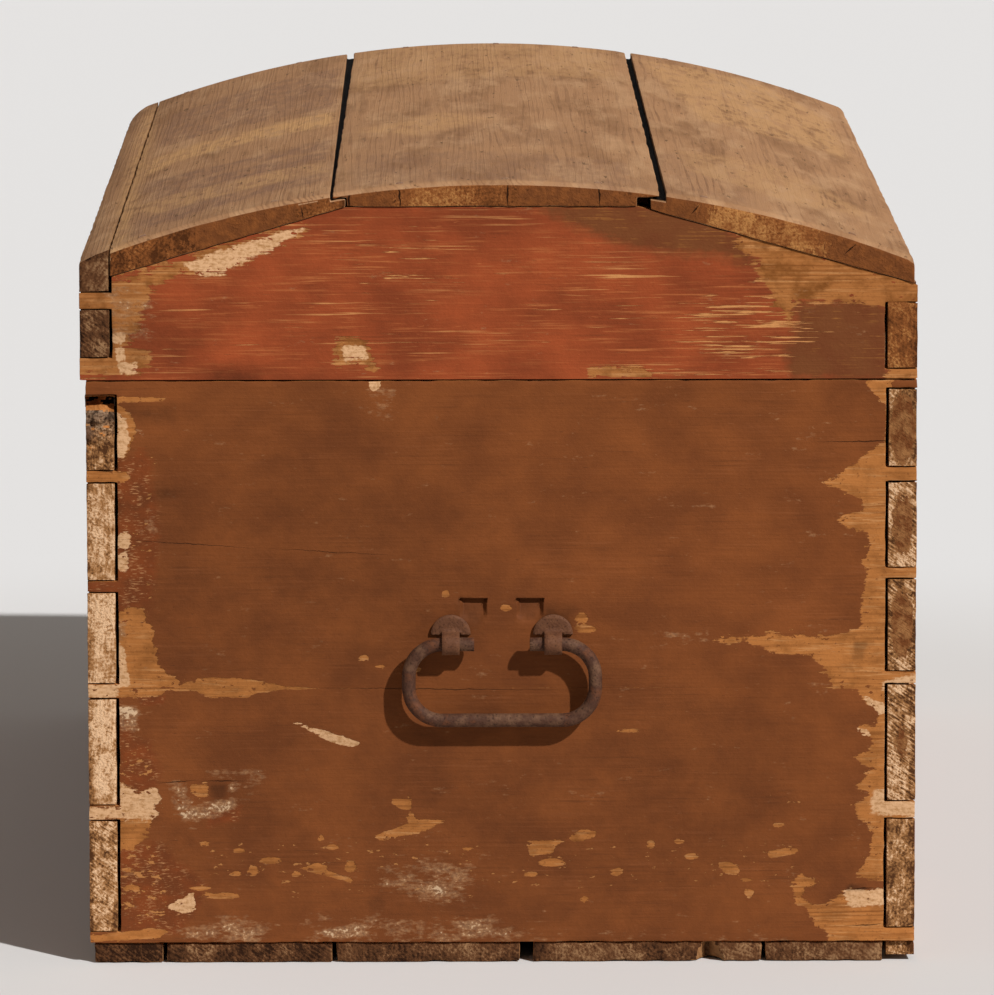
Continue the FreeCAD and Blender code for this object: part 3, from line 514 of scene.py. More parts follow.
# Ends of the tails at the photographed corners, from the lowest to the highest
FRONT_TAIL_ENDS: tuple[TailEnd, ...] = (
    TailEnd(0.46, (60, -70), hatch=0.8),
    TailEnd(0.66, (-90, 30), hatch=0.15),
    TailEnd(0.68, (20, -160)),
    TailEnd(0.60, (-120, 10), hatch=0.2),
    TailEnd(0.30, (40, 60), rot=0.95),
)
BACK_TAIL_ENDS: tuple[TailEnd, ...] = (
    TailEnd(0.36, (-35, 40), hatch=0.2),
    TailEnd(0.46, (70, 110), hatch=1.4, paint=0.35),
    TailEnd(0.44, (-60, 90), hatch=1.2, paint=0.75),
    TailEnd(0.58, (-70, -60), hatch=1.2, paint=0.7),
    TailEnd(0.50, (50, -50), hatch=0.6, paint=0.92),
)
FRONT_RAIL_ENDS: tuple[TailEnd, ...] = (TailEnd(0.40, (60, 20), hatch=0.9), TailEnd(0.55, (90, -60)))
BACK_RAIL_ENDS: tuple[TailEnd, ...] = (TailEnd(0.40, (140, 10), hatch=0.5),)


def linear(code: str) -> tuple[float, float, float, float]:
    """Turns an sRGB hex colour, as #rrggbb, to linear red, green, blue and an alpha of 1."""
    parts = [int(code[i : i + 2], 16) / 255 for i in (1, 3, 5)]
    return (*(p / 12.92 if p <= 0.04045 else ((p + 0.055) / 1.055) ** 2.4 for p in parts), 1.0)


def corners(trace: Trace) -> Outline:
    """Corners of an outline that was traced in the photograph."""
    return tuple(zip(trace[::2], trace[1::2]))


def stations(breaks: Sequence[float], step: float) -> list[float]:
    """Divides a length at every break and evenly between them.

    Args:
        breaks: Places that must be among the result, lowest first.
        step: The longest stretch between two places.

    Returns:
        The places, lowest first.
    """
    places = [breaks[0]]
    for low, high in zip(breaks, breaks[1:]):
        count = max(1, math.ceil((high - low) / step - 1e-6))
        places += [low + (high - low) * n / count for n in range(1, count + 1)]
    return places


def slab(
    us: Sequence[float],
    vs: Sequence[float],
    layers: int,
    keep: Keeper,
    cuts: Sequence[tuple[Vector, Vector]] = (),
) -> BMesh:
    """Builds a board as a grid that is cut to its outline and extruded layer by layer.

    Args:
        us: Places of the grid's columns.
        vs: Places of the grid's rows.
        layers: How many layers the board's thickness has.
        keep: Tells whether a cell, by its middle, is there in a layer.
        cuts: Point and normal of planes that trim the grid on the normal's side.

    Returns:
        A closed mesh whose vertices hold their column and row place in x and y, and their layer in z.
    """
    bm = bmesh.new()
    columns, rows = len(us) - 1, len(vs) - 1
    bmesh.ops.create_grid(bm, x_segments=columns, y_segments=rows, size=1.0)
    for vert in bm.verts:
        vert.co = (us[round((vert.co.x + 1) / 2 * columns)], vs[round((vert.co.y + 1) / 2 * rows)], 0)
    for point, normal in cuts:
        geom = bm.verts[:] + bm.edges[:] + bm.faces[:]
        bmesh.ops.bisect_plane(bm, geom=geom, dist=1e-4, plane_co=point, plane_no=normal, clear_outer=True)
    waste = [f for f in bm.faces if not keep(*f.calc_center_median().xy, 0)]
    bmesh.ops.delete(bm, geom=waste, context="FACES")
    region = bm.faces[:]
    for layer in range(1, layers + 1):
        region = [f for f in region if keep(*f.calc_center_median().xy, layer)]
        made = bmesh.ops.extrude_face_region(bm, geom=region)["geom"]
        if layer > 1:
            bmesh.ops.delete(bm, geom=[f for f in region if f.is_valid], context="FACES")
        for vert in (g for g in made if isinstance(g, BMVert)):
            vert.co.z = layer
        region = [g for g in made if isinstance(g, BMFace)]
    bmesh.ops.recalc_face_normals(bm, faces=bm.faces[:])
    return bm


def shape(bm: BMesh, place: Callable[[float, float, float], Place]) -> None:
    """Moves a slab's vertices to their place on the trunk.

    Args:
        bm: The slab.
        place: Gives X, Y and Z from column, row and layer.
    """
    for vert in bm.verts:
        vert.co = Vector(place(*vert.co)) * MM
    bmesh.ops.recalc_face_normals(bm, faces=bm.faces[:])
    if bm.calc_volume(signed=True) < 0:
        bmesh.ops.reverse_faces(bm, faces=bm.faces[:])


@dataclass(frozen=True)
class Ageing:
    """How a board has worn: the rounding of its edges, how unevenly they fell back, and how far its
    faces wander. The patterns' scales are for lengths in metres."""

    edge: float
    wear: float
    wave: float
    sharp: ClassVar[float] = 0.6
    wave_scale: ClassVar[float] = 9.0
    bite_scale: ClassVar[float] = 55.0
    nick_scale: ClassVar[float] = 160.0

    def work(self, bm: BMesh, seed: float, spare: Callable[[BMEdge], bool]) -> None:
        """Wears a board. The surface only moves inward.

        Args:
            bm: The board, in metres.
            seed: Shifts the pattern.
            spare: Tells which edges stay as sawn; they only follow their face along X.
        """
        bm.normal_update()
        sharp = [e for e in bm.edges if len(e.link_faces) == 2 and e.calc_face_angle() > self.sharp]
        crisp = {e for e in sharp if spare(e)}
        still = {tuple(v.co) for e in crisp for v in e.verts}
        for edge in crisp:
            edge.smooth = False
        rounded, offset = [e for e in sharp if e not in crisp], self.edge * MM
        worn = bmesh.ops.bevel(
            bm, geom=rounded, offset=offset, offset_type="OFFSET", segments=2, profile=0.5, affect="EDGES",
            material=-1, clamp_overlap=False, loop_slide=True,
        )
        rims = {v for v in worn["verts"] if v.is_valid}
        bm.normal_update()
        shift = Vector((seed, seed * 1.7, seed * 2.3))
        for vert in bm.verts:
            depth = self.wave * (0.5 + 0.5 * noise.noise(vert.co * self.wave_scale + shift))
            if tuple(vert.co) in still:
                vert.co.x -= math.copysign(depth * MM, vert.normal.x)
                continue
            if vert in rims:
                bite = noise.noise(vert.co * self.bite_scale + shift)
                bite += 0.6 * noise.noise(vert.co * self.nick_scale + shift)
                depth += self.wear * max(0.0, 0.25 + bite)
            vert.co -= vert.normal * depth * MM


def signed_distance(points: np.ndarray, outline: Outline) -> np.ndarray:
    """How far points lie inside an outline.

    Args:
        points: Places on a face, one row each.
        outline: Corners in order, or the two corners of an oval's box.

    Returns:
        Distance to the border, positive inside.
    """
    ends = np.array(outline, float)
    if len(ends) == 2:
        middle, half = ends.mean(0), np.abs(ends[1] - ends[0]) / 2
        return (1 - np.linalg.norm((points - middle) / half, axis=1)) * half.min()
    nearest = np.full(len(points), np.inf)
    inside = np.zeros(len(points), bool)
    for a, b in zip(ends, np.roll(ends, -1, axis=0)):
        along = b - a
        share = np.clip((points - a) @ along / (along @ along), 0, 1)
        nearest = np.minimum(nearest, np.linalg.norm(points - a - share[:, None] * along, axis=1))
        crossing = (a[1] > points[:, 1]) != (b[1] > points[:, 1])
        rise = along[1] or 1e-9
        inside ^= crossing & (points[:, 0] < (points[:, 1] - a[1]) / rise * along[0] + a[0])
    return np.where(inside, nearest, -nearest)


@dataclass(frozen=True)
class WearMap:
    """Where one face has lost its paint."""

    patches: tuple[Patch, ...]
    base_chips: float

    @classmethod
    def from_photo(
        cls,
        outlines: dict[Coat, tuple[Trace, ...]],
        areas: dict[Coat, tuple[Area, ...]],
        base_chips: float,
    ) -> "WearMap":
        """Takes what is drawn in the photograph's pixels.

        Args:
            outlines: Outlines of places with a crisp edge.
            areas: Areas with a soft border.
            base_chips: How dense small chips are all over.

        Returns:
            The map.
        """
        drawn = [(coat, Patch.strength, Patch.soft, trace) for coat in outlines for trace in outlines[coat]]
        drawn += [(coat, *area) for coat in areas for area in areas[coat]]
        patches = []
        for coat, strength, soft, trace in drawn:
            outline = tuple(VIEW.on_end(*point, SIZES.half_length) for point in corners(trace))
            patches.append(Patch(coat, outline, strength, soft))
        return cls(tuple(patches), base_chips)

    @classmethod
    def handling(cls, low: Span, high: Span, seed: int) -> "WearMap":
        """Makes up the wear of a face that the photograph doesn't show, heaviest at its rim.

        Args:
            low: The face's lowest corner.
            high: Its highest corner.
            seed: Chooses the places.

        Returns:
            The map.
        """
        rng = random.Random(seed)
        made: list[Patch] = []
        for corner in (low[0], high[0]):
            for _ in range(9):
                y, reach, tall = rng.uniform(low[1], high[1]), rng.uniform(14, 60), rng.uniform(8, 42)
                made.append(Patch.oval(Coat.BARE, (corner, y), (reach, tall)))
                made.append(Patch.oval(Coat.UNDER, (corner, y + tall), (reach * 1.5, tall)))
        count = max(4, int((high[0] - low[0]) / 90))
        for _ in range(count):
            x, y = rng.uniform(low[0], high[0]), rng.choice((low[1], high[1])) + rng.uniform(-6, 6)
            made.append(Patch.oval(Coat.BARE, (x, y), (rng.uniform(20, 110), rng.uniform(3, 12))))
        for _ in range(count * 2):
            x, y = rng.uniform(low[0], high[0]), rng.uniform(low[1], (low[1] + high[1]) / 2)
            made.append(Patch.oval(Coat.BARE, (x, y), (rng.uniform(5, 26), rng.uniform(2, 6))))
        for _ in range(count // 3):
            x, y = rng.uniform(low[0], high[0]), rng.uniform(low[1], high[1])
            reach, tall = rng.uniform(20, 60), rng.uniform(8, 22)
            made.append(Patch.oval(Coat.CHIPS, (x, y), (reach * 2, tall), 0.6))
            for _ in range(4):
                x, y = x + rng.uniform(-1, 1) * reach, y + rng.uniform(-0.7, 0.7) * tall
                made.append(Patch.oval(Coat.SCUFF, (x, y), (reach, tall), rng.uniform(0.25, 0.75), tall))
        return cls(tuple(made), 0.12)

    def sample(self, points: np.ndarray, outward: np.ndarray) -> dict[str, np.ndarray]:
        """Reads the map.

        Args:
            points: Places on the face, one row each.
            outward: How far each place looks the painted way; those that don't are bare.

        Returns:
            For each coat a value at each point: millimetres inside an outline, or a density.
        """
        away = {coat: OUTSIDE if coat.crisp else 0.0 for coat in Coat}
        found = {coat: np.full(len(points), value) for coat, value in away.items()}
        found[Coat.CHIPS] += self.base_chips
        for patch in self.patches:
            inside = signed_distance(points, patch.outline) * patch.hold()
            if not patch.coat.crisp:
                inside = patch.strength * np.clip(inside / patch.soft + 0.5, 0, 1)
            found[patch.coat] = np.maximum(found[patch.coat], inside)
        away[Coat.BARE] = INSIDE
        return {coat.value: np.where(outward > FACING, found[coat], away[coat]) for coat in Coat}


def keep_mesh(bm: BMesh, name: str) -> Object:
    """Makes a finished piece's object.

    Args:
        bm: The piece, in metres; it is freed.
        name: The piece's name.

    Returns:
        The object, at the origin, with smooth faces.
    """
    mesh = bpy.data.meshes.new(name)
    for face in bm.faces:
        face.smooth = True
    bm.to_mesh(mesh)
    bm.free()
    piece = bpy.data.objects.new(name, mesh)
    bpy.context.scene.collection.objects.link(piece)
    return piece


def read(mesh: Mesh) -> tuple[np.ndarray, np.ndarray]:
    """Reads a mesh's vertices.

    Args:
        mesh: The mesh.

    Returns:
        Their places and their normals, one row each.
    """
    places = np.zeros(len(mesh.vertices) * 3, np.float32)
    normals = np.zeros(len(mesh.vertices) * 3, np.float32)
    mesh.vertices.foreach_get("co", places)
    mesh.vertex_normals.foreach_get("vector", normals)
    return places.reshape(-1, 3).astype(float) / MM, normals.reshape(-1, 3).astype(float)


def write(mesh: Mesh, values: dict[str, np.ndarray]) -> None:
    """Stores numbers for each vertex, for a material to read.

    Args:
        mesh: The mesh.
        values: Names of the numbers, with one number for each vertex.
    """
    for name, numbers in values.items():
        attribute = mesh.attributes.new(name, "FLOAT", "POINT")
        attribute.data.foreach_set("value", numbers.astype(np.float32))


def settle(piece: Object, node: str, body: str) -> None:
    """Evens a piece's shading and puts it in its construction node's place.

    Args:
        piece: The piece.
        node: The node that it stands for.
        body: The body that it rides on.
    """
    piece.modifiers.new("even_shading", "WEIGHTED_NORMAL").keep_sharp = True
    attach(piece, body)
    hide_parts(node)
    LOG.info("%s: %d faces, on %s", piece.name, len(piece.data.polygons), body)


def add_node(tree: NodeTree, kind: str, inputs: Any = (), operation: str = "", **settings: Any) -> Node:
    """Adds a node with its settings and links.

    Args:
        tree: The tree that it goes into.
        kind: The node's type, without its ShaderNode prefix.
        inputs: Values, sockets or nodes for its inputs, in order or by name. A node gives its first output.
        operation: What it does, for a node that can do several things.
        settings: The node's other properties.

    Returns:
        The node.
    """
    node = tree.nodes.new("ShaderNode" + kind)
    if operation:
        node.operation = operation
    for name, value in settings.items():
        setattr(node, name, value)
    sockets = [s for s in node.inputs if s.enabled]
    for key, value in inputs.items() if isinstance(inputs, dict) else enumerate(inputs):
        socket = sockets[key] if isinstance(key, int) else next(s for s in sockets if s.name == key)
        if isinstance(value, Node):
            value = next(s for s in value.outputs if s.enabled)
        if isinstance(value, NodeSocket):
            tree.links.new(value, socket)
        else:
            socket.default_value = value
    return node


class Canvas:
    """A material's nodes, with the millimetre coordinates that its patterns are drawn on and the
    numbers that a mesh stores for it."""

    def __init__(self, name: str, grain: Grain = Grain.ALONG, reads: Sequence[str] = ()) -> None:
        """Starts an empty material.

        Args:
            name: The material's name.
            grain: Which way the fibres run.
            reads: Names of the numbers that the mesh stores for each vertex.
        """
        self.grain = grain
        self.material = bpy.data.materials.new(name)
        self.material.use_nodes = True
        self.material.node_tree.nodes.clear()
        self.add: Callable[..., Node] = partial(add_node, self.material.node_tree)
        coords = self.add("TexCoord").outputs["Object"]
        self.place = self.add("VectorMath", {"Vector": coords, "Scale": 1 / MM}, "SCALE")
        self.worn = {read: self.add("Attribute", attribute_name=read).outputs["Fac"] for read in reads}

    def pattern(self, long: float, short: float, seed: float, detail: float = 4.0) -> Node:
        """A cloudy pattern from 0 to 1, drawn out along the grain.

        Args:
            long: Its size along the fibres.
            short: Its size across them.
            seed: Shifts it.
            detail: How many finer levels it has.

        Returns:
            The node.
        """
        size = (long, short, short) if self.grain is Grain.ALONG else (short, long, short)
        scaled = self.add("VectorMath", (self.place, size), "DIVIDE")
        moved = self.add("VectorMath", (scaled, (seed, seed * 0.7, seed * 1.3)), "ADD")
        return self.add("TexNoise", {"Vector": moved, "Scale": 1.0, "Detail": detail, "Roughness": 0.6})

    def lay(self, colour: Any, top: Any, share: Any, times: Any = None) -> Node:
        """Lays one colour over another.

        Args:
            colour: The lower colour, as a hex code or a node.
            top: The upper colour.
            share: How much of the upper one shows, as a node. Or a pattern with its levels where the upper
                one starts and where it is full, and how much shows at most.
            times: What the share is multiplied by, if anything.

        Returns:
            The node.
        """
        if isinstance(share, tuple):
            pattern, start, full, most = share
            share = self.add("MapRange", (pattern, start, full, 0.0, most))
        if times is not None:
            share = self.add("Math", (share, times), "MULTIPLY")
        low, high = (linear(c) if isinstance(c, str) else c for c in (colour, top))
        return self.add("Mix", (share, low, high), data_type="RGBA")

    def torn(self, inside: Any, tears: Sequence[tuple[Node, float]], soft: float) -> Node:
        """Share of a patch whose border is torn.

        Args:
            inside: Millimetres inside the patch.
            tears: Patterns that tear it, each with its reach.
            soft: Half the width of the border.

        Returns:
            The node.
        """
        for pattern, reach in tears:
            inside = self.add("Math", (pattern, reach, inside), "MULTIPLY_ADD")
        middle = sum(reach for _, reach in tears) / 2
        return self.add("MapRange", (inside, middle - soft, middle + soft, 0.0, 1.0))

    def dense(self, pattern: Any, amount: Any, low: float, high: float, soft: float) -> Node:
        """Share of a speckle that covers more where the amount is larger.

        Args:
            pattern: The pattern that it is cut from.
            amount: How dense it is, from 0 to 1 or more.
            low: The pattern's level that is covered at 1.
            high: The level at 0.
            soft: Half the width of its border, in the pattern's levels.

        Returns:
            The node.
        """
        level = self.add("MapRange", (amount, 0.0, 1.0, high, low), clamp=False)
        above = self.add("Math", (pattern, level), "SUBTRACT")
        return self.add("MapRange", (above, -soft, soft, 0.0, 1.0))

    def pine(
        self, early: str, late: str, dark: str, ring: float, show: float = 0.75, pores: float = 0.6
    ) -> tuple[Node, Node]:
        """Planed pine: pale early wood, darker lines of late wood and fine fibres.

        Args:
            early: Colour of the wide pale bands.
            late: Colour of the narrow dark lines.
            dark: Colour of dirt in the pores.
            ring: Distance between two dark lines.
            show: How strongly the dark lines show at most.
            pores: How strongly the dirty pores show.

        Returns:
            Nodes for the colour and for the height of the fibres.
        """
        bend = self.pattern(1300, 42, 1.0, 2.0)
        parts = self.add("SeparateXYZ", (self.place,))
        side = parts.outputs["Y" if self.grain is Grain.ALONG else "X"]
        across = self.add("Math", (parts.outputs["Z"], side), "ADD")
        phase = self.add("Math", (across, math.tau / ring), "MULTIPLY")
        phase = self.add("Math", (bend, 40.0, phase), "MULTIPLY_ADD")
        phase = self.add("Math", (self.pattern(260, 9, 17.0, 3.0), 14.0, phase), "MULTIPLY_ADD")
        wave = self.add("Math", (phase,), "SINE")
        line = self.add("MapRange", (wave, 0.0, 1.0, 0.0, 1.0), interpolation_type="SMOOTHSTEP")
        tone = self.add("MapRange", (self.pattern(220, 26, 7.7, 3.0), 0.42, 0.66, 0.0, show))
        fibre = self.pattern(45, 0.8, 3.1, 3.0)
        colour = self.lay(early, late, line, tone)
        colour = self.lay(colour, dark, (fibre, 0.55, 0.75, pores))
        height = self.add("Math", (line, 0.4, fibre), "MULTIPLY_ADD")
        return colour, height

    def split(self, crack: Crack, plane: float, bend: Node) -> Node:
        """A crack on the trunk's end, as a share that is high inside it.

        Args:
            crack: Where it runs, in the photograph's pixels.
            plane: X of the face that it lies on.
            bend: The pattern that bends it.

        Returns:
            The node.
        """
        start, end = (VIEW.on_end(*p, plane) for p in (crack.start, crack.end))
        middle = ((start[0] + end[0]) / 2, (start[1] + end[1]) / 2)
        tilt = math.atan2(end[1] - start[1], end[0] - start[0])
        frame_of_crack = {"Vector": self.place, "Location": (0.0, *middle), "Rotation": (tilt, 0.0, 0.0)}
        parts = self.add("SeparateXYZ", (self.add("Mapping", frame_of_crack, vector_type="TEXTURE"),))
        off = self.add("Math", (bend, 3.0, -1.5), "MULTIPLY_ADD")
        off = self.add("Math", (parts.outputs["Z"], off), "ADD")
        off = self.add("Math", (off,), "ABSOLUTE")
        along = self.add("Math", (parts.outputs["Y"],), "ABSOLUTE")
        taper = self.add("MapRange", (along, 0.0, math.dist(start, end) / 2, crack.width / 2, 0.0))
        gap = self.add("Math", (taper, off), "SUBTRACT")
        return self.add("MapRange", (gap, 0.0, crack.width * 0.3, 0.0, 0.9))

    def close(self, colour: Any, rough: Any, height: Any, depth: float, **shader: Any) -> Material:
        """Ends the material with its shader.

        Args:
            colour: Its colour.
            rough: Its roughness.
            height: What its relief follows.
            depth: The relief's depth.
            shader: Other shader inputs, with _ for a space.

        Returns:
            The material.
        """
        bump = self.add("Bump", {"Strength": 1.0, "Distance": depth * MM, "Height": height})
        values = {"Base Color": colour, "Roughness": rough, "Normal": bump}
        values.update({k.replace("_", " "): v for k, v in shader.items()})
        self.add("OutputMaterial", {"Surface": self.add("BsdfPrincipled", values)})
        return self.material


@dataclass(frozen=True)
class PaintedPine:
    """Pine under old oil paint, brushed on by hand. The paint is dull and a little uneven, breaks off
    in crisp-edged flakes along the grain, and leaves older paint or bare wood."""

    name: str
    grain: Grain = Grain.ACROSS
    top: str = "#814823"
    top_shade: str = "#6c3b1d"
    dark: str = "#55301a"
    rubbed: str = "#8a5230"
    under: str = "#7f401e"
    under_fleck: str = "#b98457"
    bare: str = "#b0703a"
    bare_late: str = "#7d4820"
    bare_light: str = "#c28a56"
    bare_pores: str = "#5f3a1c"
    bare_soil: str = "#79481f"
    bare_speck: str = "#6c3f1f"
    chip: str = "#b07643"
    cream: str = "#d6a97e"
    cream_shade: str = "#ab7c4e"
    grey: str = "#825f45"
    tan: str = "#b8895f"
    chalk: str = "#dcbd99"
    # Colour of grime, also laid down as painted shade
    dirt: str = "#2a180c"
    crack: str = "#1d1009"
    rag: float = 7.0
    sliver: float = 8.0
    sliver_long: float = 26.0
    border: float = 0.3
    under_border: float = 3.0
    fleck_long: float = 5.0
    fleck: float = 0.62
    streak: float = 0.45
    scratch: float = 0.0
    chip_long: float = 8.0
    chip_short: float = 3.2
    soil: float = 0.5
    cracks: tuple[Crack, ...] = ()

    def make(self) -> Material:
        """Builds the material.

        Returns:
            The material.
        """
        c = Canvas(self.name, self.grain, [coat.value for coat in Coat])
        rag = c.pattern(10, 9, 0.0, 6.0)
        sliver = c.pattern(self.sliver_long, 1.8, 3.0)
        nibble = c.pattern(2.8, 2.2, 5.0, 3.0)

        older, shows = self.older(c, ((rag, self.rag), (sliver, 8.0), (nibble, 3.0)))
        paint = c.lay(self.paint(c, nibble), older, shows)
        crumbs = c.pattern(7, 3.4, 12.0, 4.0)
        left = c.add("MapRange", (crumbs, 0.61, 0.69, 0.0, -8.0))
        lost = c.add("MapRange", (crumbs, 0.38, 0.30, 0.0, 4.0))
        inside = c.add("Math", (c.add("Math", (left, lost)), c.worn["bare"]))
        bare = c.torn(inside, ((rag, self.rag), (sliver, self.sliver), (nibble, 3.0)), self.border)
        flakes = c.pattern(self.chip_long, self.chip_short, 2.0)
        chips = c.dense(flakes, c.worn["chips"], 0.60, 0.80, 0.015)
        timber, fibre = self.timber(c, sliver, nibble)
        fresh = c.torn(c.worn["cream"], ((rag, 8.0), (sliver, 10.0), (nibble, 6.0)), 1.0)
        mealy = c.add("Math", (c.pattern(9, 2.2, 31.0, 4.0), nibble))
        pale = c.lay(self.cream_shade, self.cream, (mealy, 0.72, 1.08, 1.0))
        colour = c.lay(c.lay(paint, self.chip, chips), c.lay(timber, pale, fresh), bare)
        colour = self.scuffs(c, nibble, colour)
        # Grime and painted shade: the dirt colour laid over the paint where the wear map asks for it
        ragged = c.add("MapRange", (rag, 0.3, 0.7, 0.6, 1.1))
        colour = c.lay(colour, self.dirt, ragged, c.worn["grime"])

        wood = c.add("Math", (bare, chips), "MAXIMUM")
        height = c.add("Math", (wood, -0.7, nibble), "MULTIPLY_ADD")
        height = c.add("Math", (fibre, 0.3, height), "MULTIPLY_ADD")
        for crack in self.cracks:
            gap = c.split(crack, SIZES.half_length, rag)
            colour = c.lay(colour, self.crack, gap, 0.75)
            height = c.add("Math", (gap, -2.0, height), "MULTIPLY_ADD")
        rough = c.add("MapRange", (wood, 0.0, 1.0, 0.65, 0.85))
        return c.close(colour, rough, height, 0.28, Specular_IOR_Level=0.08)

    def paint(self, c: Canvas, nibble: Node) -> Node:
        """The top coat: two browns that run into each other, dry brush marks, streaks and nicks.

        Args:
            c: The material's canvas.
            nibble: The pattern of the smallest nicks.

        Returns:
            The colour's node.
        """
        colour = c.lay(self.top, self.top_shade, (c.pattern(60, 42, 8.0, 6.0), 0.36, 0.64, 1.0))
        where = c.add("MapRange", (c.pattern(70, 34, 23.0, 3.0), 0.44, 0.66, 0.15, 1.0))
        where = c.add("Math", (c.worn["chips"], 0.5, where), "MULTIPLY_ADD")
        brush = c.pattern(46, 1.5, 6.0, 4.0)
        marks = [(brush, 0.54, 0.72, self.streak, self.rubbed), (brush, 0.44, 0.28, 0.5, self.dark)]
        if self.scratch:
            marks.append((c.pattern(120, 2.4, 51.0, 4.0), 0.61, 0.67, self.scratch, self.chip))
        for pattern, start, full, most, tone in marks:
            colour = c.lay(colour, tone, (pattern, start, full, most), where)
        ticks = c.pattern(13, 1.6, 27.0, 3.0)
        colour = c.lay(colour, self.rubbed, (ticks, 0.68, 0.76, 0.6))
        colour = c.lay(colour, self.dark, (ticks, 0.30, 0.24, 0.6))
        return c.lay(colour, self.dark, (nibble, 0.34, 0.22, 0.4))

    def older(self, c: Canvas, tears: Sequence[tuple[Node, float]]) -> tuple[Node, Node]:
        """The coat under the top one, rubbed thin in flecks.

        Args:
            c: The material's canvas.
            tears: What tears its border, with the reaches.

        Returns:
            Nodes for its colour and for the share that it covers.
        """
        thin = c.pattern(self.fleck_long, 1.0, 21.0, 4.0)
        bunch = c.add("MapRange", (c.pattern(14, 22, 25.0, 3.0), 0.4, 0.6, 0.08, -0.06))
        thin = c.add("Math", (thin, bunch), "SUBTRACT")
        colour = c.lay(self.under, self.dark, (c.pattern(26, 18, 29.0, 5.0), 0.4, 0.62, 0.55))
        colour = c.lay(colour, self.under_fleck, (thin, self.fleck - 0.05, self.fleck + 0.07, 0.8))
        return colour, c.torn(c.worn["under"], tears, self.under_border)

    def timber(self, c: Canvas, sliver: Node, nibble: Node) -> tuple[Node, Node]:
        """The bare wood, dirty in places and lighter where slivers came off.

        Args:
            c: The material's canvas.
            sliver: The pattern of the slivers.
            nibble: The pattern of the smallest nicks.

        Returns:
            Nodes for its colour and its relief.
        """
        colour, fibre = c.pine(self.bare, self.bare_late, self.bare_pores, 4.4)
        colour = c.lay(colour, self.bare_light, (sliver, 0.54, 0.68, 0.8))
        colour = c.lay(colour, self.bare_soil, (c.pattern(17, 12, 18.0, 6.0), 0.46, 0.66, self.soil))
        return c.lay(colour, self.bare_speck, (nibble, 0.6, 0.72, 0.6)), fibre

    def scuffs(self, c: Canvas, nibble: Node, colour: Node) -> Node:
        """Rubbed places: stippled tan that lets the paint through, and chalky flecks where it is worst.

        Args:
            c: The material's canvas.
            nibble: The pattern of the smallest nicks.
            colour: What they lie on.

        Returns:
            The colour's node.
        """
        patchy = c.add("MapRange", (c.pattern(34, 12, 37.0, 3.0), 0.38, 0.62, 0.45, 1.2))
        amount = c.add("Math", (c.worn["scuff"], patchy), "MULTIPLY")
        drift = c.pattern(24, 7, 33.0, 6.0)
        stipple = c.add("Math", (c.pattern(5, 1.9, 35.0, 4.0), 0.6, drift), "MULTIPLY_ADD")
        worn = c.dense(stipple, amount, 0.72, 1.1, 0.12)
        tan = c.lay(self.grey, self.tan, (nibble, 0.36, 0.62, 1.0))
        colour = c.lay(colour, tan, worn, 0.8)
        grit = c.add("Math", (drift, 0.5, nibble), "MULTIPLY_ADD")
        flecks = c.dense(grit, amount, 0.85, 1.18, 0.05)
        return c.lay(colour, self.chalk, flecks, 0.75)


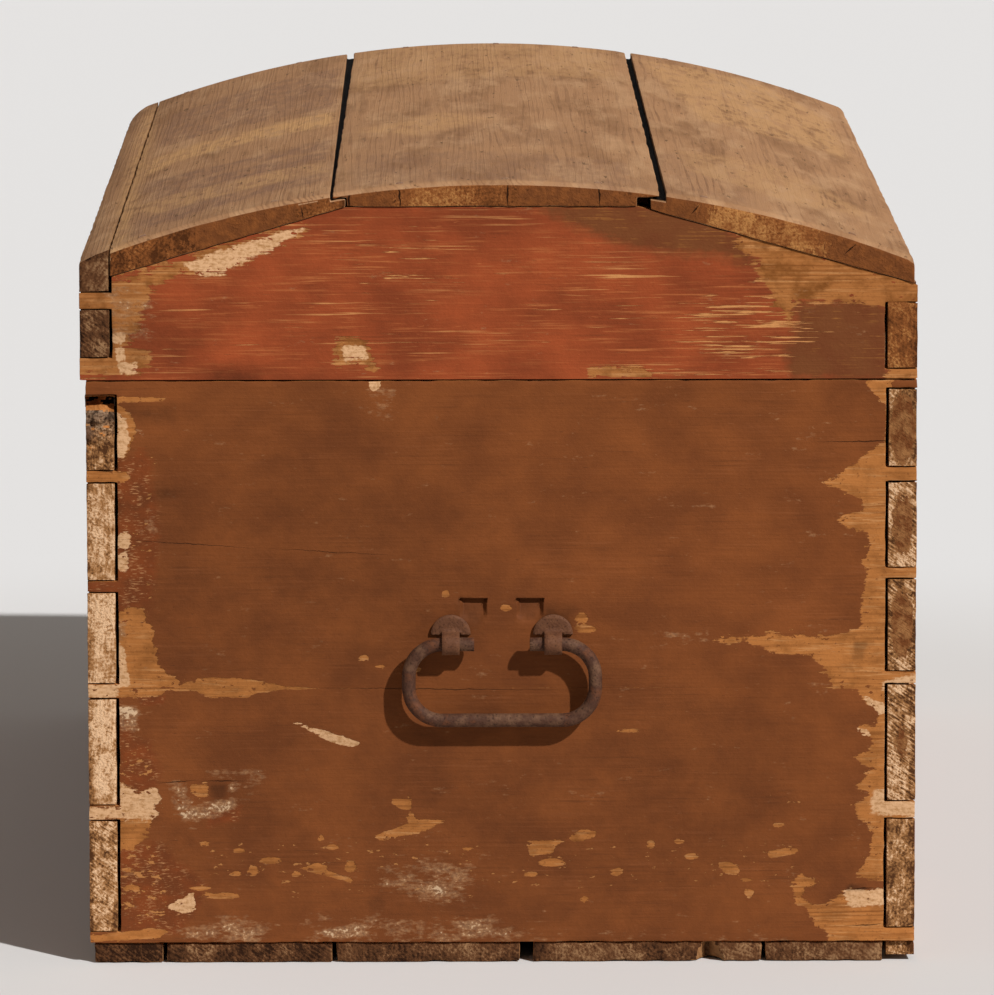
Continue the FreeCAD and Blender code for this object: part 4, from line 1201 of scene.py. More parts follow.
@dataclass(frozen=True)
class EndGrain:
    """Sawn pine across the grain: faint rings, saw marks, pores that hold dirt, pale wood where it was
    rubbed, and crumbling grey-brown rot."""

    name: str
    pale: str = "#dab28b"
    middle: str = "#9c6d42"
    dark: str = "#4f301a"
    paint: str = "#6b3e20"
    crumb: str = "#99806a"
    crumb_shade: str = "#4a3524"
    rot_crack: str = "#150c07"
    # Near-black painted shade for the deepest rotten hollow
    hollow: str = "#080503"
    check: str = "#140b06"
    ring: float = 3.1
    contrast: float = 0.8
    checks: tuple[Crack, ...] = ()

    def make(self) -> Material:
        """Builds the material.

        Returns:
            The material.
        """
        c = Canvas(self.name, reads=("pale", "rot", "ring", "hatch", "coat"))
        rag, blot = c.pattern(6, 6, 0.0, 6.0), c.pattern(17, 17, 4.0, 4.0)
        pore = c.pattern(1.6, 1.6, 9.0, 3.0)
        drawn = []
        for angle, long, short, detail in ((0.62, 11.0, 1.6, 3.0), (1.66, 24.0, 1.9, 4.0)):
            turned = c.add("VectorRotate", {"Vector": c.place, "Axis": (1.0, 0.0, 0.0), "Angle": angle})
            scaled = c.add("VectorMath", (turned, (60.0, long, short)), "DIVIDE")
            drawn.append(c.add("TexNoise", {"Vector": scaled, "Scale": 1.0, "Detail": detail}))
        saw, strand = drawn
        phase = c.add("Math", (c.worn["ring"], math.tau / self.ring), "MULTIPLY")
        phase = c.add("Math", (rag, 9.0, phase), "MULTIPLY_ADD")
        wave = c.add("Math", (phase,), "SINE")
        level = c.add("Math", (wave, -0.05, c.worn["pale"]), "MULTIPLY_ADD")
        marks = c.add("Math", (c.worn["hatch"], 1.9), "MULTIPLY")
        speck = c.add("MapRange", (blot, 0.35, 0.6, 0.6, 2.4))
        for pattern, weight in ((rag, 1.5), (blot, 1.9), (strand, 0.8), (pore, speck), (saw, marks)):
            centred = c.add("Math", (pattern, self.contrast, -0.5 * self.contrast), "MULTIPLY_ADD")
            level = c.add("Math", (centred, weight, level), "MULTIPLY_ADD")
        colour = c.lay(self.dark, self.middle, (level, 0.05, 0.45, 1.0))
        colour = c.lay(colour, self.pale, (level, 0.45, 0.85, 1.0))
        coat = c.torn(c.worn["coat"], ((rag, 18.0), (strand, 10.0), (pore, 6.0)), 0.4)
        colour = c.lay(colour, c.lay(self.paint, self.middle, (rag, 0.42, 0.66, 0.8)), coat)
        colour = self.rotten(c, pore, colour)
        height = c.add("Math", (pore, 0.8, level), "MULTIPLY_ADD")
        for check in self.checks:
            gap = c.split(check, SIZES.plank_reach, rag)
            colour = c.lay(colour, self.check, gap)
            height = c.add("Math", (gap, -2.0, height), "MULTIPLY_ADD")
        return c.close(colour, 0.85, height, 0.45, Specular_IOR_Level=0.06)

    def rotten(self, c: Canvas, pore: Node, colour: Node) -> Node:
        """Grey-brown crumbs with black cracks between them, and near-black painted shade in the deepest
        hollow.

        Args:
            c: The material's canvas.
            pore: The pattern of the pores.
            colour: The sound wood.

        Returns:
            The colour's node.
        """
        rot = c.worn["rot"]
        colour = c.lay(colour, c.lay(self.crumb_shade, self.crumb, (pore, 0.36, 0.64, 1.0)), rot)
        swirl = c.pattern(5, 5, 40.0, 3.0).outputs["Color"]
        bent = c.add("VectorMath", (swirl, (8.0, 8.0, 8.0), c.place), "MULTIPLY_ADD")
        lumps = c.add("TexVoronoi", {"Vector": bent, "Scale": 1 / 14.0}, feature="DISTANCE_TO_EDGE")
        crack = c.add("MapRange", (lumps, 0.02, 0.12, 1.0, 0.0))
        # Painted shade: near-black where the rot value passes 1, deep in the sunk hollow
        return c.lay(c.lay(colour, self.rot_crack, crack, rot), self.hollow, (rot, 1.0, 1.7, 1.0))


@dataclass(frozen=True)
class WeatheredPine:
    """Pine that lost its coat and greyed in use: a dull bloom over faint lines of late wood, brown
    stains, tan where hands rubbed it, and near-black in the gaps, which is dirt and painted shade."""

    name: str
    early: str = "#ab805b"
    late: str = "#805c40"
    pores: str = "#7d5a3f"
    stain: str = "#7b5638"
    light: str = "#bd946d"
    dark: str = "#4b3423"
    grey: str = "#7d5c4b"
    tan: str = "#bd9163"
    # Near-black of the gaps between planks: dirt, and painted shade down in the gaps
    gap: str = "#0c0704"

    def make(self) -> Material:
        """Builds the material.

        Returns:
            The material.
        """
        c = Canvas(self.name, reads=("bloom", "rubbed", "dirt"))
        colour, fibre = c.pine(self.early, self.late, self.pores, 5.5, 0.9, 0.25)
        fine, nick = c.pattern(30, 9, 9.0, 5.0), c.pattern(26, 4.5, 14.0, 5.0)
        colour = c.lay(colour, self.stain, (c.pattern(170, 44, 4.0, 6.0), 0.48, 0.62, 0.6))
        colour = c.lay(colour, self.light, (c.pattern(120, 28, 44.0, 5.0), 0.5, 0.64, 0.8))
        veil = c.add("MapRange", (fine, 0.36, 0.6, 0.3, 1.0))
        colour = c.lay(colour, self.grey, veil, c.worn["bloom"])
        hands = c.add("MapRange", (fine, 0.38, 0.54, 0.1, 1.0))
        colour = c.lay(colour, self.tan, hands, c.worn["rubbed"])
        colour = c.lay(colour, self.dark, (nick, 0.63, 0.70, 0.7))
        # Dirt and painted shade: near-black in the gaps between the planks
        colour = c.lay(colour, self.gap, c.worn["dirt"])
        height = c.add("Math", (nick, -0.6, fibre), "MULTIPLY_ADD")
        return c.close(colour, 0.85, height, 0.3, Specular_IOR_Level=0.03)


@dataclass(frozen=True)
class RawPine:
    """Sawn pine that was never coated, brown with age and dirt."""

    name: str
    grain: Grain = Grain.ALONG
    early: str = "#a1744b"
    late: str = "#815735"
    dark: str = "#4b301b"

    def make(self) -> Material:
        """Builds the material.

        Returns:
            The material.
        """
        c = Canvas(self.name, self.grain)
        colour, fibre = c.pine(self.early, self.late, self.dark, 6.0)
        colour = c.lay(colour, self.dark, (c.pattern(150, 50, 2.0, 5.0), 0.48, 0.7, 0.6))
        return c.close(colour, 0.85, fibre, 0.4, Specular_IOR_Level=0.06)


@dataclass(frozen=True)
class ForgedIron:
    """Hand-forged iron, hammered and rusted: brown rust with paler rubbed places that still shine a
    little, and dark pits."""

    name: str
    rust: str = "#472b1d"
    pale: str = "#77563f"
    dark: str = "#1f0f08"
    orange: str = "#683c22"
    shine: float = 0.2

    def make(self) -> Material:
        """Builds the material.

        Returns:
            The material.
        """
        c = Canvas(self.name)
        pit, cloud = c.pattern(1.7, 1.7, 3.0, 4.0), c.pattern(13, 13, 6.0, 4.0)
        rubbed = c.add("MapRange", (cloud, 0.46, 0.68, 0.0, 0.8))
        colour = c.lay(self.rust, self.pale, rubbed)
        colour = c.lay(colour, self.orange, (cloud, 0.44, 0.32, 0.7))
        colour = c.lay(colour, self.dark, (pit, 0.46, 0.30, 0.9))
        metal = c.add("Math", (rubbed, self.shine), "MULTIPLY")
        rough = c.add("MapRange", (pit, 0.3, 0.7, 0.85, 0.6))
        return c.close(colour, rough, pit, 0.5, Metallic=metal, Specular_IOR_Level=0.2)


class Finish(Enum):
    """The trunk's materials."""

    BROWN_END = PaintedPine("brown_oil_paint_on_pine_end", cracks=WALL_CRACKS)
    BROWN_LEFT = PaintedPine("brown_oil_paint_on_pine_left_end")
    BROWN_SIDE = PaintedPine("brown_oil_paint_on_pine_side", Grain.ALONG)
    RED_END = PaintedPine(
        "red_oil_paint_on_pine_end", top="#9a4927", top_shade="#7c3a1f", dark="#67341c", rubbed="#b36a3c",
        under="#714123", under_fleck="#95602f", bare="#a66a38", chip="#c48852", rag=13.0, sliver=22.0,
        sliver_long=60.0, border=0.8, under_border=5.0, fleck_long=40.0, fleck=0.64, streak=0.9,
        scratch=0.9, soil=0.95, chip_long=46.0, chip_short=1.5,
    )
    SAWN = EndGrain("sawn_pine_end_grain")
    STAINED = EndGrain(
        "stained_pine_end_grain", "#b07a45", "#844e27", "#4c2a13", contrast=0.55, checks=PLANK_CHECKS
    )
    DIRTY = EndGrain("dirty_pine_end_grain", "#94704e", "#5f3d25", "#2b180d", contrast=0.55)
    WEATHERED = WeatheredPine("weathered_bare_pine")
    RAW = RawPine("raw_sawn_pine")
    RAW_ACROSS = RawPine("raw_sawn_pine_across", Grain.ACROSS)
    IRON = ForgedIron("forged_rusty_iron")
    PAINTED_IRON = ForgedIron("iron_under_old_paint", "#5d3924", "#71492f", "#3a2114", "#6f4427", 0.0)
    NAIL_IRON = ForgedIron("rusty_nail_iron", "#4a3022", "#5c4030", "#2a180f", "#5c3922", 0.0)
    LID_NAIL_IRON = ForgedIron("nail_iron_worn_flush", "#84614a", "#957253", "#5c4330", "#7b5537", 0.0)

    @property
    def material(self) -> Material:
        """The material, made the first time that it is asked for."""
        return bpy.data.materials.get(self.value.name) or self.value.make()


def coat_faces(
    piece: Object,
    finish: Finish,
    end: Finish,
    axis: int,
    tip: float = math.inf,
    start: float = 0.0,
    outward: int = 0,
    square: float = 0.75,
) -> None:
    """Gives a board its face finish, and its end grain to the faces that point along the fibres.

    Args:
        piece: The board.
        finish: The faces' finish.
        end: The ends' finish.
        axis: The axis of the fibres, 0 for X and 1 for Y.
        tip: How far from the middle every face but an outer one is end grain.
        start: How far from the middle the first end grain can be.
        outward: Which way the painted face looks across the fibres; the opposite face stays raw.
        square: How squarely a face must point along the fibres to be end grain.
    """
    raw = Finish.RAW if axis == 0 else Finish.RAW_ACROSS
    for layer in (finish, end, raw)[: 3 if outward else 2]:
        piece.data.materials.append(layer.material)
    for face in piece.data.polygons:
        reach, across = abs(face.center[axis]), face.normal[1 - axis]
        beyond = reach > tip * MM and abs(across) < 0.7 and face.normal.z < 0.5
        sawn_off = abs(face.normal[axis]) > square and reach > start * MM
        face.material_index = 1 if sawn_off or beyond else 2 * (across * outward < -0.5)


def weather(places: np.ndarray, up: np.ndarray) -> dict[str, np.ndarray]:
    """Where the lid is greyed and where hands rubbed it.

    Args:
        places: Places, one row each.
        up: How far each place faces upward, from -1 to 1.

    Returns:
        Bloom, rubbed and dirt values; the dirt, which the planks also use for painted shade in their gaps,
        is none here.
    """
    even, soft = np.ones(len(places)), 12.0
    found = {"bloom": 0.3 * even, "rubbed": 0.12 * even, "dirt": 0 * even}
    for kind, strength, trace in LID_SPOTS:
        inside = signed_distance(places[:, :2], tuple(VIEW.on_lid(x, y) for x, y in corners(trace)))
        found[kind] = np.maximum(found[kind], strength * np.clip(inside / soft + 0.5, 0, 1) * (up > 0.1))
    return found


def sawn(ring: np.ndarray, pale: Any, hatch: float = 0.0, coat: Any = OUTSIDE) -> dict[str, np.ndarray]:
    """A sawn end's values: distance from the heart, paleness, rot, saw marks, and what paint is left."""
    even = np.ones(len(ring))
    return {"ring": ring, "pale": even * pale, "rot": even * 0, "hatch": even * hatch, "coat": even * coat}


@dataclass
class Board:
    """A wooden board: the construction node that it replaces, the body that it rides on, the name of a
    material slot, which is not used, and a seed for its wear."""

    node: str
    body: str
    slot: str
    seed: float
    ageing: ClassVar[Ageing]

    def mesh(self) -> BMesh:
        """The board as it was new."""
        raise NotImplementedError

    def seam(self, edge: BMEdge) -> bool:
        """Tells the edges that stay as sawn."""
        return False

    def dress(self, piece: Object) -> None:
        """Stores what its finishes read, and gives it its finishes."""
        raise NotImplementedError

    def build(self) -> None:
        """Makes the board."""
        bm = self.mesh()
        self.ageing.work(bm, self.seed, self.seam)
        piece = keep_mesh(bm, self.node + "_worn")
        self.dress(piece)
        settle(piece, self.node, self.body)


@dataclass
class EndBoard(Board):
    """A board across the trunk's end, with the sockets of the corner joints."""

    side: int
    y: Span
    z: Span
    front_tails: list[Span]
    back_tails: list[Span]
    shoulders: Span
    wear: WearMap
    finish: Finish
    step: float
    notches: bool = False
    facets: Outline = ()
    ageing: ClassVar[Ageing] = Ageing(0.5, 0.7, 0.4)
    heart: ClassVar[Span] = (500.0, 120.0)
    notch_slope: ClassVar[float] = 0.5
    notch_taper: ClassVar[float] = 0.18
    rim_wear: ClassVar[float] = 1.2

    def sockets(self, y: float) -> list[Span]:
        """Heights of the sockets at the corner nearest to a place across the trunk."""
        tails = self.front_tails if y < 0 else self.back_tails
        return [(low - SIZES.clearance, high + SIZES.clearance) for low, high in tails]

    def keep(self, y: float, z: float, layer: int) -> bool:
        """Tells wood from a socket."""
        between = self.shoulders[0] < y < self.shoulders[1]
        return between or not any(low < z < high for low, high in self.sockets(y))

    def notch(self, y: float, z: float) -> float:
        """Depth of the two chopped notches over the handle, which narrow downward.

        Args:
            y: A place across the trunk.
            z: Its height.

        Returns:
            The depth there.
        """
        low, top = SIZES.notch_low, SIZES.notch_top
        off = abs(abs(y) - SIZES.notch_spacing / 2)
        half = SIZES.notch_width / 2 - self.notch_taper * (top - z)
        if not (self.notches and low <= z <= top and off <= half):
            return 0.0
        return SIZES.notch_depth * (z - low) / (top - low)

    def place(self, y: float, z: float, layer: float) -> Place:
        """Place of a grid point; inside the trunk the pins are wider.

        Args:
            y: The point's column.
            z: Its row.
            layer: 0 on the outer face.

        Returns:
            X, Y and Z.
        """
        if layer == 0:
            return (self.side * (SIZES.half_length - self.notch(y, z)), y, z)
        if not self.shoulders[0] < y < self.shoulders[1]:
            outer, inner = [self.z[0]], [self.z[0]]
            for low, high in self.sockets(y):
                if self.z[0] < low and high < self.z[1]:
                    outer += [low, high]
                    inner += [low + SIZES.flare, high - SIZES.flare]
            z = float(np.interp(z, outer + [self.z[1]], inner + [self.z[1]]))
        return (self.side * (SIZES.half_length - SIZES.board), y, z)

    def mesh(self) -> BMesh:
        """The board as it was new. Its grid breaks at sockets and notches, and facets trim its top.

        Returns:
            The mesh, in metres.
        """
        breaks, levels = [self.y[0], self.shoulders[0]], {self.z[0], self.z[1]}
        for tail in self.sockets(-1) + self.sockets(1):
            levels |= {level for level in tail if self.z[0] + 1 < level < self.z[1] - 1}
        if self.notches:
            half, slope = SIZES.notch_width / 2, self.notch_slope
            for middle in (-SIZES.notch_spacing / 2, SIZES.notch_spacing / 2):
                breaks += [middle - half - slope, middle - half, middle + half, middle + half + slope]
            levels |= {SIZES.notch_low, SIZES.notch_top, SIZES.notch_top + slope}
        breaks += [self.shoulders[1], self.y[1]]
        rows: list[float] = []
        for level in sorted(levels):
            if not rows or level - rows[-1] > SIZES.clearance:
                rows.append(level)
        cuts = []
        for (y0, z0), (y1, z1) in zip(self.facets, self.facets[1:]):
            cuts.append((Vector((y0, z0, 0)), Vector((z0 - z1, y1 - y0, 0)).normalized()))
        bm = slab(stations(breaks, self.step), stations(rows, self.step), 1, self.keep, cuts)
        shape(bm, self.place)
        return bm

    def seam(self, edge: BMEdge) -> bool:
        """Tells the edges that meet another board closely: facets, seams and the lid's foot.

        Args:
            edge: The edge.

        Returns:
            Whether it stays as sawn.
        """
        ways = [f.normal.z for f in edge.link_faces]
        tall = max(v.co.z for v in edge.verts) / MM
        if self.facets:
            foot = min(ways) < -0.9 and tall < SIZES.lid_base + 1
            return foot or max(ways) > 0.6 and tall > SIZES.lid_base + 60
        if self.notches:
            return min(ways) < -0.9 and tall < self.z[0] + 1
        return max(ways) > 0.9 and tall > self.z[1] - 1

    def dress(self, piece: Object) -> None:
        """Stores the wear and gives the board its finishes.

        Args:
            piece: The board's object.
        """
        places, normals = read(piece.data)
        tall, off = places[:, 2], np.abs(places[:, 1])
        recess = (tall > SIZES.notch_low) & (tall < SIZES.notch_top + 1)
        recess &= self.notches & (off > 1) & (off < SIZES.notch_spacing)
        outward = np.where(recess, 1.0, normals[:, 0] * self.side)
        values = self.wear.sample(places[:, 1:], outward)
        rim = (outward > FACING) & (outward < 0.9) & (normals[:, 2] > -0.3)
        bare = values[Coat.BARE.value]
        values[Coat.BARE.value] = np.where(rim, np.maximum(bare, -1.0) + self.rim_wear, bare)
        ring = np.hypot(places[:, 0] - self.heart[0] * self.side, places[:, 2] - self.heart[1])
        write(piece.data, values | sawn(ring, 0.5))
        coat_faces(piece, self.finish, Finish.SAWN, 1, start=self.shoulders[1] - 1, outward=self.side)


@dataclass
class LongBoard(Board):
    """A board along the trunk, with tails at both ends."""

    y: Span
    z: Span
    tails: list[Span]
    ends: tuple[TailEnd, ...]
    finish: Finish
    end_finish: Finish = Finish.SAWN
    wear: WearMap | None = None
    top: Callable[[float, float], float] | None = None
    lip: float | None = None
    keyhole: Place | None = None
    ageing: ClassVar[Ageing] = Ageing(0.5, 0.7, 0.5)
    layers: ClassVar[int] = 10
    step: ClassVar[float] = 14.0
    tail_step: ClassVar[float] = 5.5
    row_step: ClassVar[float] = 3.0
    top_reach: ClassVar[float] = 24.0
    heart: ClassVar[Span] = (60.0, 200.0)
    rot_shares: ClassVar[tuple[float, ...]] = (0.0, 0.4, 0.8, 0.87, 0.95)
    rot_depths: ClassVar[tuple[float, ...]] = (0.2, 0.8, 1.2, 13.0, 15.0)
    rot_lumps: ClassVar[float] = 6.5
    shoulder: ClassVar[float] = SIZES.half_length - SIZES.board - SIZES.clearance

    @property
    def outward(self) -> int:
        """Which way the painted face looks."""
        return -1 if self.y[0] < 0 else 1

    def tail(self, z: float) -> int | None:
        """Which tail a height lies in."""
        found = (n for n, (low, high) in enumerate(self.tails) if low - 1e-4 <= z <= high + 1e-4)
        return next(found, None)

    def keep(self, x: float, z: float, layer: int) -> bool:
        """Tells wood from the waste between the tails.

        Args:
            x: A place along the trunk.
            z: Its height.
            layer: The layer; not used.

        Returns:
            Whether there is wood.
        """
        if self.keyhole and abs(x) < self.keyhole[0] and self.keyhole[1] < z < self.keyhole[2]:
            return False
        if self.lip is not None and z < SIZES.wall_low:
            return abs(x) < (self.lip if z < SIZES.wall_low - SIZES.clearance else self.shoulder)
        return abs(x) < self.shoulder or self.tail(z) is not None

    def place(self, x: float, z: float, layer: float) -> Place:
        """Place of a grid point; a tail narrows towards its root.

        Args:
            x: The point's column.
            z: Its row.
            layer: Its layer, 0 at the lowest Y.

        Returns:
            X, Y and Z.
        """
        number = self.tail(z)
        if abs(x) > self.shoulder - 1e-3 and number is not None:
            low, high = self.tails[number][0], min(self.tails[number][1], self.z[1])
            sides = 1 if high >= self.z[1] - 1e-3 else 2
            inset = SIZES.flare * (SIZES.half_length - abs(x)) / SIZES.board
            z = low + inset + (z - low) * (high - low - inset * sides) / (high - low)
        y = self.y[0] + (self.y[1] - self.y[0]) * layer / self.layers
        line = self.z[1] - self.top_reach
        if self.top is not None and z > line:
            z = line + (z - line) / (self.z[1] - line) * (self.top(x, y) - line)
        return (x, y, z)

    def grid(self) -> tuple[list[float], list[float]]:
        """Lays out the grid, closer in the tails and where the wood is rotten.

        Returns:
            Places of its columns and rows.
        """
        tips = stations([self.shoulder, SIZES.half_length], self.tail_step)[1:]
        middle = stations([-self.shoulder, self.shoulder], self.step)
        levels = {level for tail in self.tails for level in tail if self.z[0] + 1 < level < self.z[1] - 1}
        levels |= {self.z[0], self.z[1]}
        if self.lip is not None:
            tips.append(self.lip)
            levels |= {SIZES.wall_low - SIZES.clearance, SIZES.wall_low}
        if self.keyhole:
            tips.append(self.keyhole[0])
            levels |= set(self.keyhole[1:])
        for (low, high), end in zip(self.tails, self.ends):
            if end.rot:
                levels |= set(stations([low, high], self.row_step / 2))
        columns = sorted({-x for x in tips} | set(middle) | set(tips))
        return columns, stations(sorted(levels), self.row_step)

    def mesh(self) -> BMesh:
        """The board before its edges wore, with its ends sunk where the wood has crumbled away on the
        photographed side.

        Returns:
            The mesh, in metres.
        """
        bm = slab(*self.grid(), self.layers, self.keep)
        shape(bm, self.place)
        for vert in bm.verts:
            number = self.tail(vert.co.z / MM)
            if vert.co.x < (SIZES.half_length - 2) * MM or number is None or not self.ends[number].rot:
                continue
            low, high = self.tails[number]
            share = (vert.co.z / MM - low) / (high - low)
            hollow = np.interp(share, self.rot_shares, self.rot_depths)
            lump = noise.noise(vert.co * 95) + 0.7 * noise.noise(vert.co * 230)
            sunk = max(0.0, hollow + self.rot_lumps * lump * min(1.0, 2 * share))
            vert.co.x -= self.ends[number].rot * sunk * MM
        return bm

    def sawn_ends(self, places: np.ndarray) -> dict[str, np.ndarray]:
        """What the sawn ends look like.

        Args:
            places: Places, one row each.

        Returns:
            Ring, pale, rot, hatch and coat values.
        """
        rng = random.Random(self.node)
        middle = (self.y[0] + self.y[1]) / 2
        near = places[:, 0] > 0
        ring = np.hypot(places[:, 1] - middle - self.heart[0], places[:, 2] - self.heart[1])
        values = sawn(ring, 0.2)
        for (low, high), end in zip(self.tails, self.ends):
            high = min(high, self.z[1])
            centre = (low + high) / 2
            pale, heart = rng.uniform(0.3, 0.8), (rng.uniform(-120, 120), rng.uniform(-90, 90))
            other = TailEnd(pale, heart, hatch=rng.random())
            share = (places[:, 2] - low) / (high - low)
            inside = np.abs(share - 0.5) < 0.55
            for mask, look in ((inside & near, end), (inside & ~near, other)):
                here = places[mask]
                across, tall = here[:, 1] - middle - look.heart[0], here[:, 2] - centre - look.heart[1]
                values["ring"][mask] = np.hypot(across, tall)
                values["pale"][mask] = look.pale
                values["hatch"][mask] = look.hatch
                # Deep in the sunk end the rot value passes 1, where the material paints the hollow
                # near-black as shade
                sunk = np.clip((SIZES.half_length - 4 - np.abs(here[:, 0])) / 4, 0, 0.9)
                values["rot"][mask] = look.rot * (np.clip(share[mask] * 2 - 0.7, 0, 1) + sunk)
                if look.paint:
                    half = (look.paint * (self.y[1] - self.y[0]) / 2, look.paint * (high - low) / 2)
                    oval = Patch.oval(Coat.UNDER, (middle, centre), half)
                    values["coat"][mask] = 2 * signed_distance(here[:, 1:], oval.outline)
        outer = self.y[0] if self.outward < 0 else self.y[1]
        values["pale"] -= 0.3 * np.clip(1 - np.abs(places[:, 1] - outer) / 6.0, 0, 1)
        return values

    def dress(self, piece: Object) -> None:
        """Stores the wear and gives the board its finishes.

        Args:
            piece: The board's object.
        """
        places, normals = read(piece.data)
        if self.wear is None:
            values = weather(places, normals[:, 2])
        else:
            values = self.wear.sample(places[:, [0, 2]], normals[:, 1] * self.outward)
        write(piece.data, values | self.sawn_ends(places))
        coat_faces(piece, self.finish, self.end_finish, 0, self.shoulder + 2, outward=self.outward)


@dataclass
class Plank(Board):
    """One plank of the lid's top, rounded above and flat below, lapped to its neighbour."""

    breaks: tuple[float, ...]
    levels: Callable[[float, float, int], float]
    layers: int
    keep: Keeper
    slide: Callable[[float, float], float]
    pale: float
    ageing: ClassVar[Ageing] = Ageing(0.9, 0.9, 0.3)
    step: ClassVar[float] = 18.0
    row_step: ClassVar[float] = 7.0
    end_rows: ClassVar[tuple[float, ...]] = (24.0, 5.0, 2.5, 0.0)
    heart: ClassVar[Span] = (120.0, 440.0)

    def mesh(self) -> BMesh:
        """The plank as it was new.

        Returns:
            The mesh, in metres.
        """
        ends = [SIZES.plank_reach - row for row in self.end_rows]
        columns = stations([-x for x in reversed(ends)] + ends, self.step)
        bm = slab(columns, stations(self.breaks, self.row_step), self.layers, self.keep)
        shape(bm, lambda x, y, k: (x, self.slide(x, y), self.levels(x, self.slide(x, y), round(k))))
        return bm

    def dress(self, piece: Object) -> None:
        """Stores the weather and the near-black of the gaps, dirt and painted shade, and gives the plank
        its finishes.

        Args:
            piece: The plank's object.
        """
        places, normals = read(piece.data)
        across = places[:, 1]
        values = weather(places, normals[:, 2])
        crown = np.array([SIZES.dome(y) for y in np.clip(across, SIZES.lid_front, SIZES.lid_back)])
        laps = SIZES.front_break - SIZES.lap_width, SIZES.back_break + SIZES.lap_width
        near = np.min([np.abs(across - lap) for lap in laps], axis=0) < 16
        inside = near & (np.abs(places[:, 0]) < SIZES.half_length) & (normals[:, 2] > -0.6)
        # Dirt and painted shade: the laps go near-black deeper than 1.2 mm under the dome, inside the gaps
        values["dirt"] = np.clip((crown - places[:, 2] - 1.2) / 2.5, 0, 1) * inside
        ring = np.hypot(across - self.breaks[0] - self.heart[0], places[:, 2] - self.heart[1])
        pale = self.pale + 0.16 * np.sin(across / 31 + self.seed) + 0.1 * np.sin(across / 11)
        write(piece.data, values | sawn(ring, pale, 0.15, 6 * np.sin(across / 27 + self.seed * 2)))
        coat_faces(piece, Finish.WEATHERED, Finish.STAINED, 0, square=0.9)


@dataclass
class BottomBoard(Board):
    """A board of the trunk's bottom, as its construction node lies; one has a split in its near end."""

    number: int
    split_place: float | None = None
    ageing: ClassVar[Ageing] = Ageing(1.2, 1.6, 0.5)
    layers: ClassVar[int] = 4
    step: ClassVar[float] = 20.0
    row_step: ClassVar[float] = 4.0
    split_near: ClassVar[float] = 540.0
    split_depth: ClassVar[float] = 16.0
    split_reach: ClassVar[Span] = (2.0, 9.0)
    heart: ClassVar[Span] = (90.0, 70.0)

    def mesh(self) -> BMesh:
        """The board before its edges wore, with its split, which widens downward.

        Returns:
            The mesh, in metres.
        """
        low, high = (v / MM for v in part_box(self.node))
        columns = stations([low.x, low.x + self.step, high.x - self.step, high.x], self.step)
        bm = slab(columns, stations([low.y, high.y], self.row_step), self.layers, lambda x, y, k: True)
        shape(bm, lambda x, y, k: (x, y, low.z + (high.z - low.z) * k / self.layers))
        if self.split_place is None:
            return bm
        for vert in bm.verts:
            x, y, z = vert.co / MM
            reach = self.split_reach[0] + self.split_reach[1] * (high.z - z) / (high.z - low.z)
            off = abs(y - self.split_place)
            if x > self.split_near and off < reach:
                vert.co.x -= self.split_depth * (1 - off / reach) * MM
        return bm

    def dress(self, piece: Object) -> None:
        """Stores how dirty its ends are and gives the board its finishes.

        Args:
            piece: The board's object.
        """
        places, _ = read(piece.data)
        low, high = (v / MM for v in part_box(self.node))
        ring = np.hypot(places[:, 1] - (low.y + high.y) / 2 - self.heart[0], places[:, 2] - self.heart[1])
        pale = 0.12 + 0.07 * self.number + 0.12 * np.sin(places[:, 1] / 17 + self.number)
        write(piece.data, sawn(ring, pale, 0.9 if self.number < 3 else 0.3))
        coat_faces(piece, Finish.RAW, Finish.DIRTY, 0)


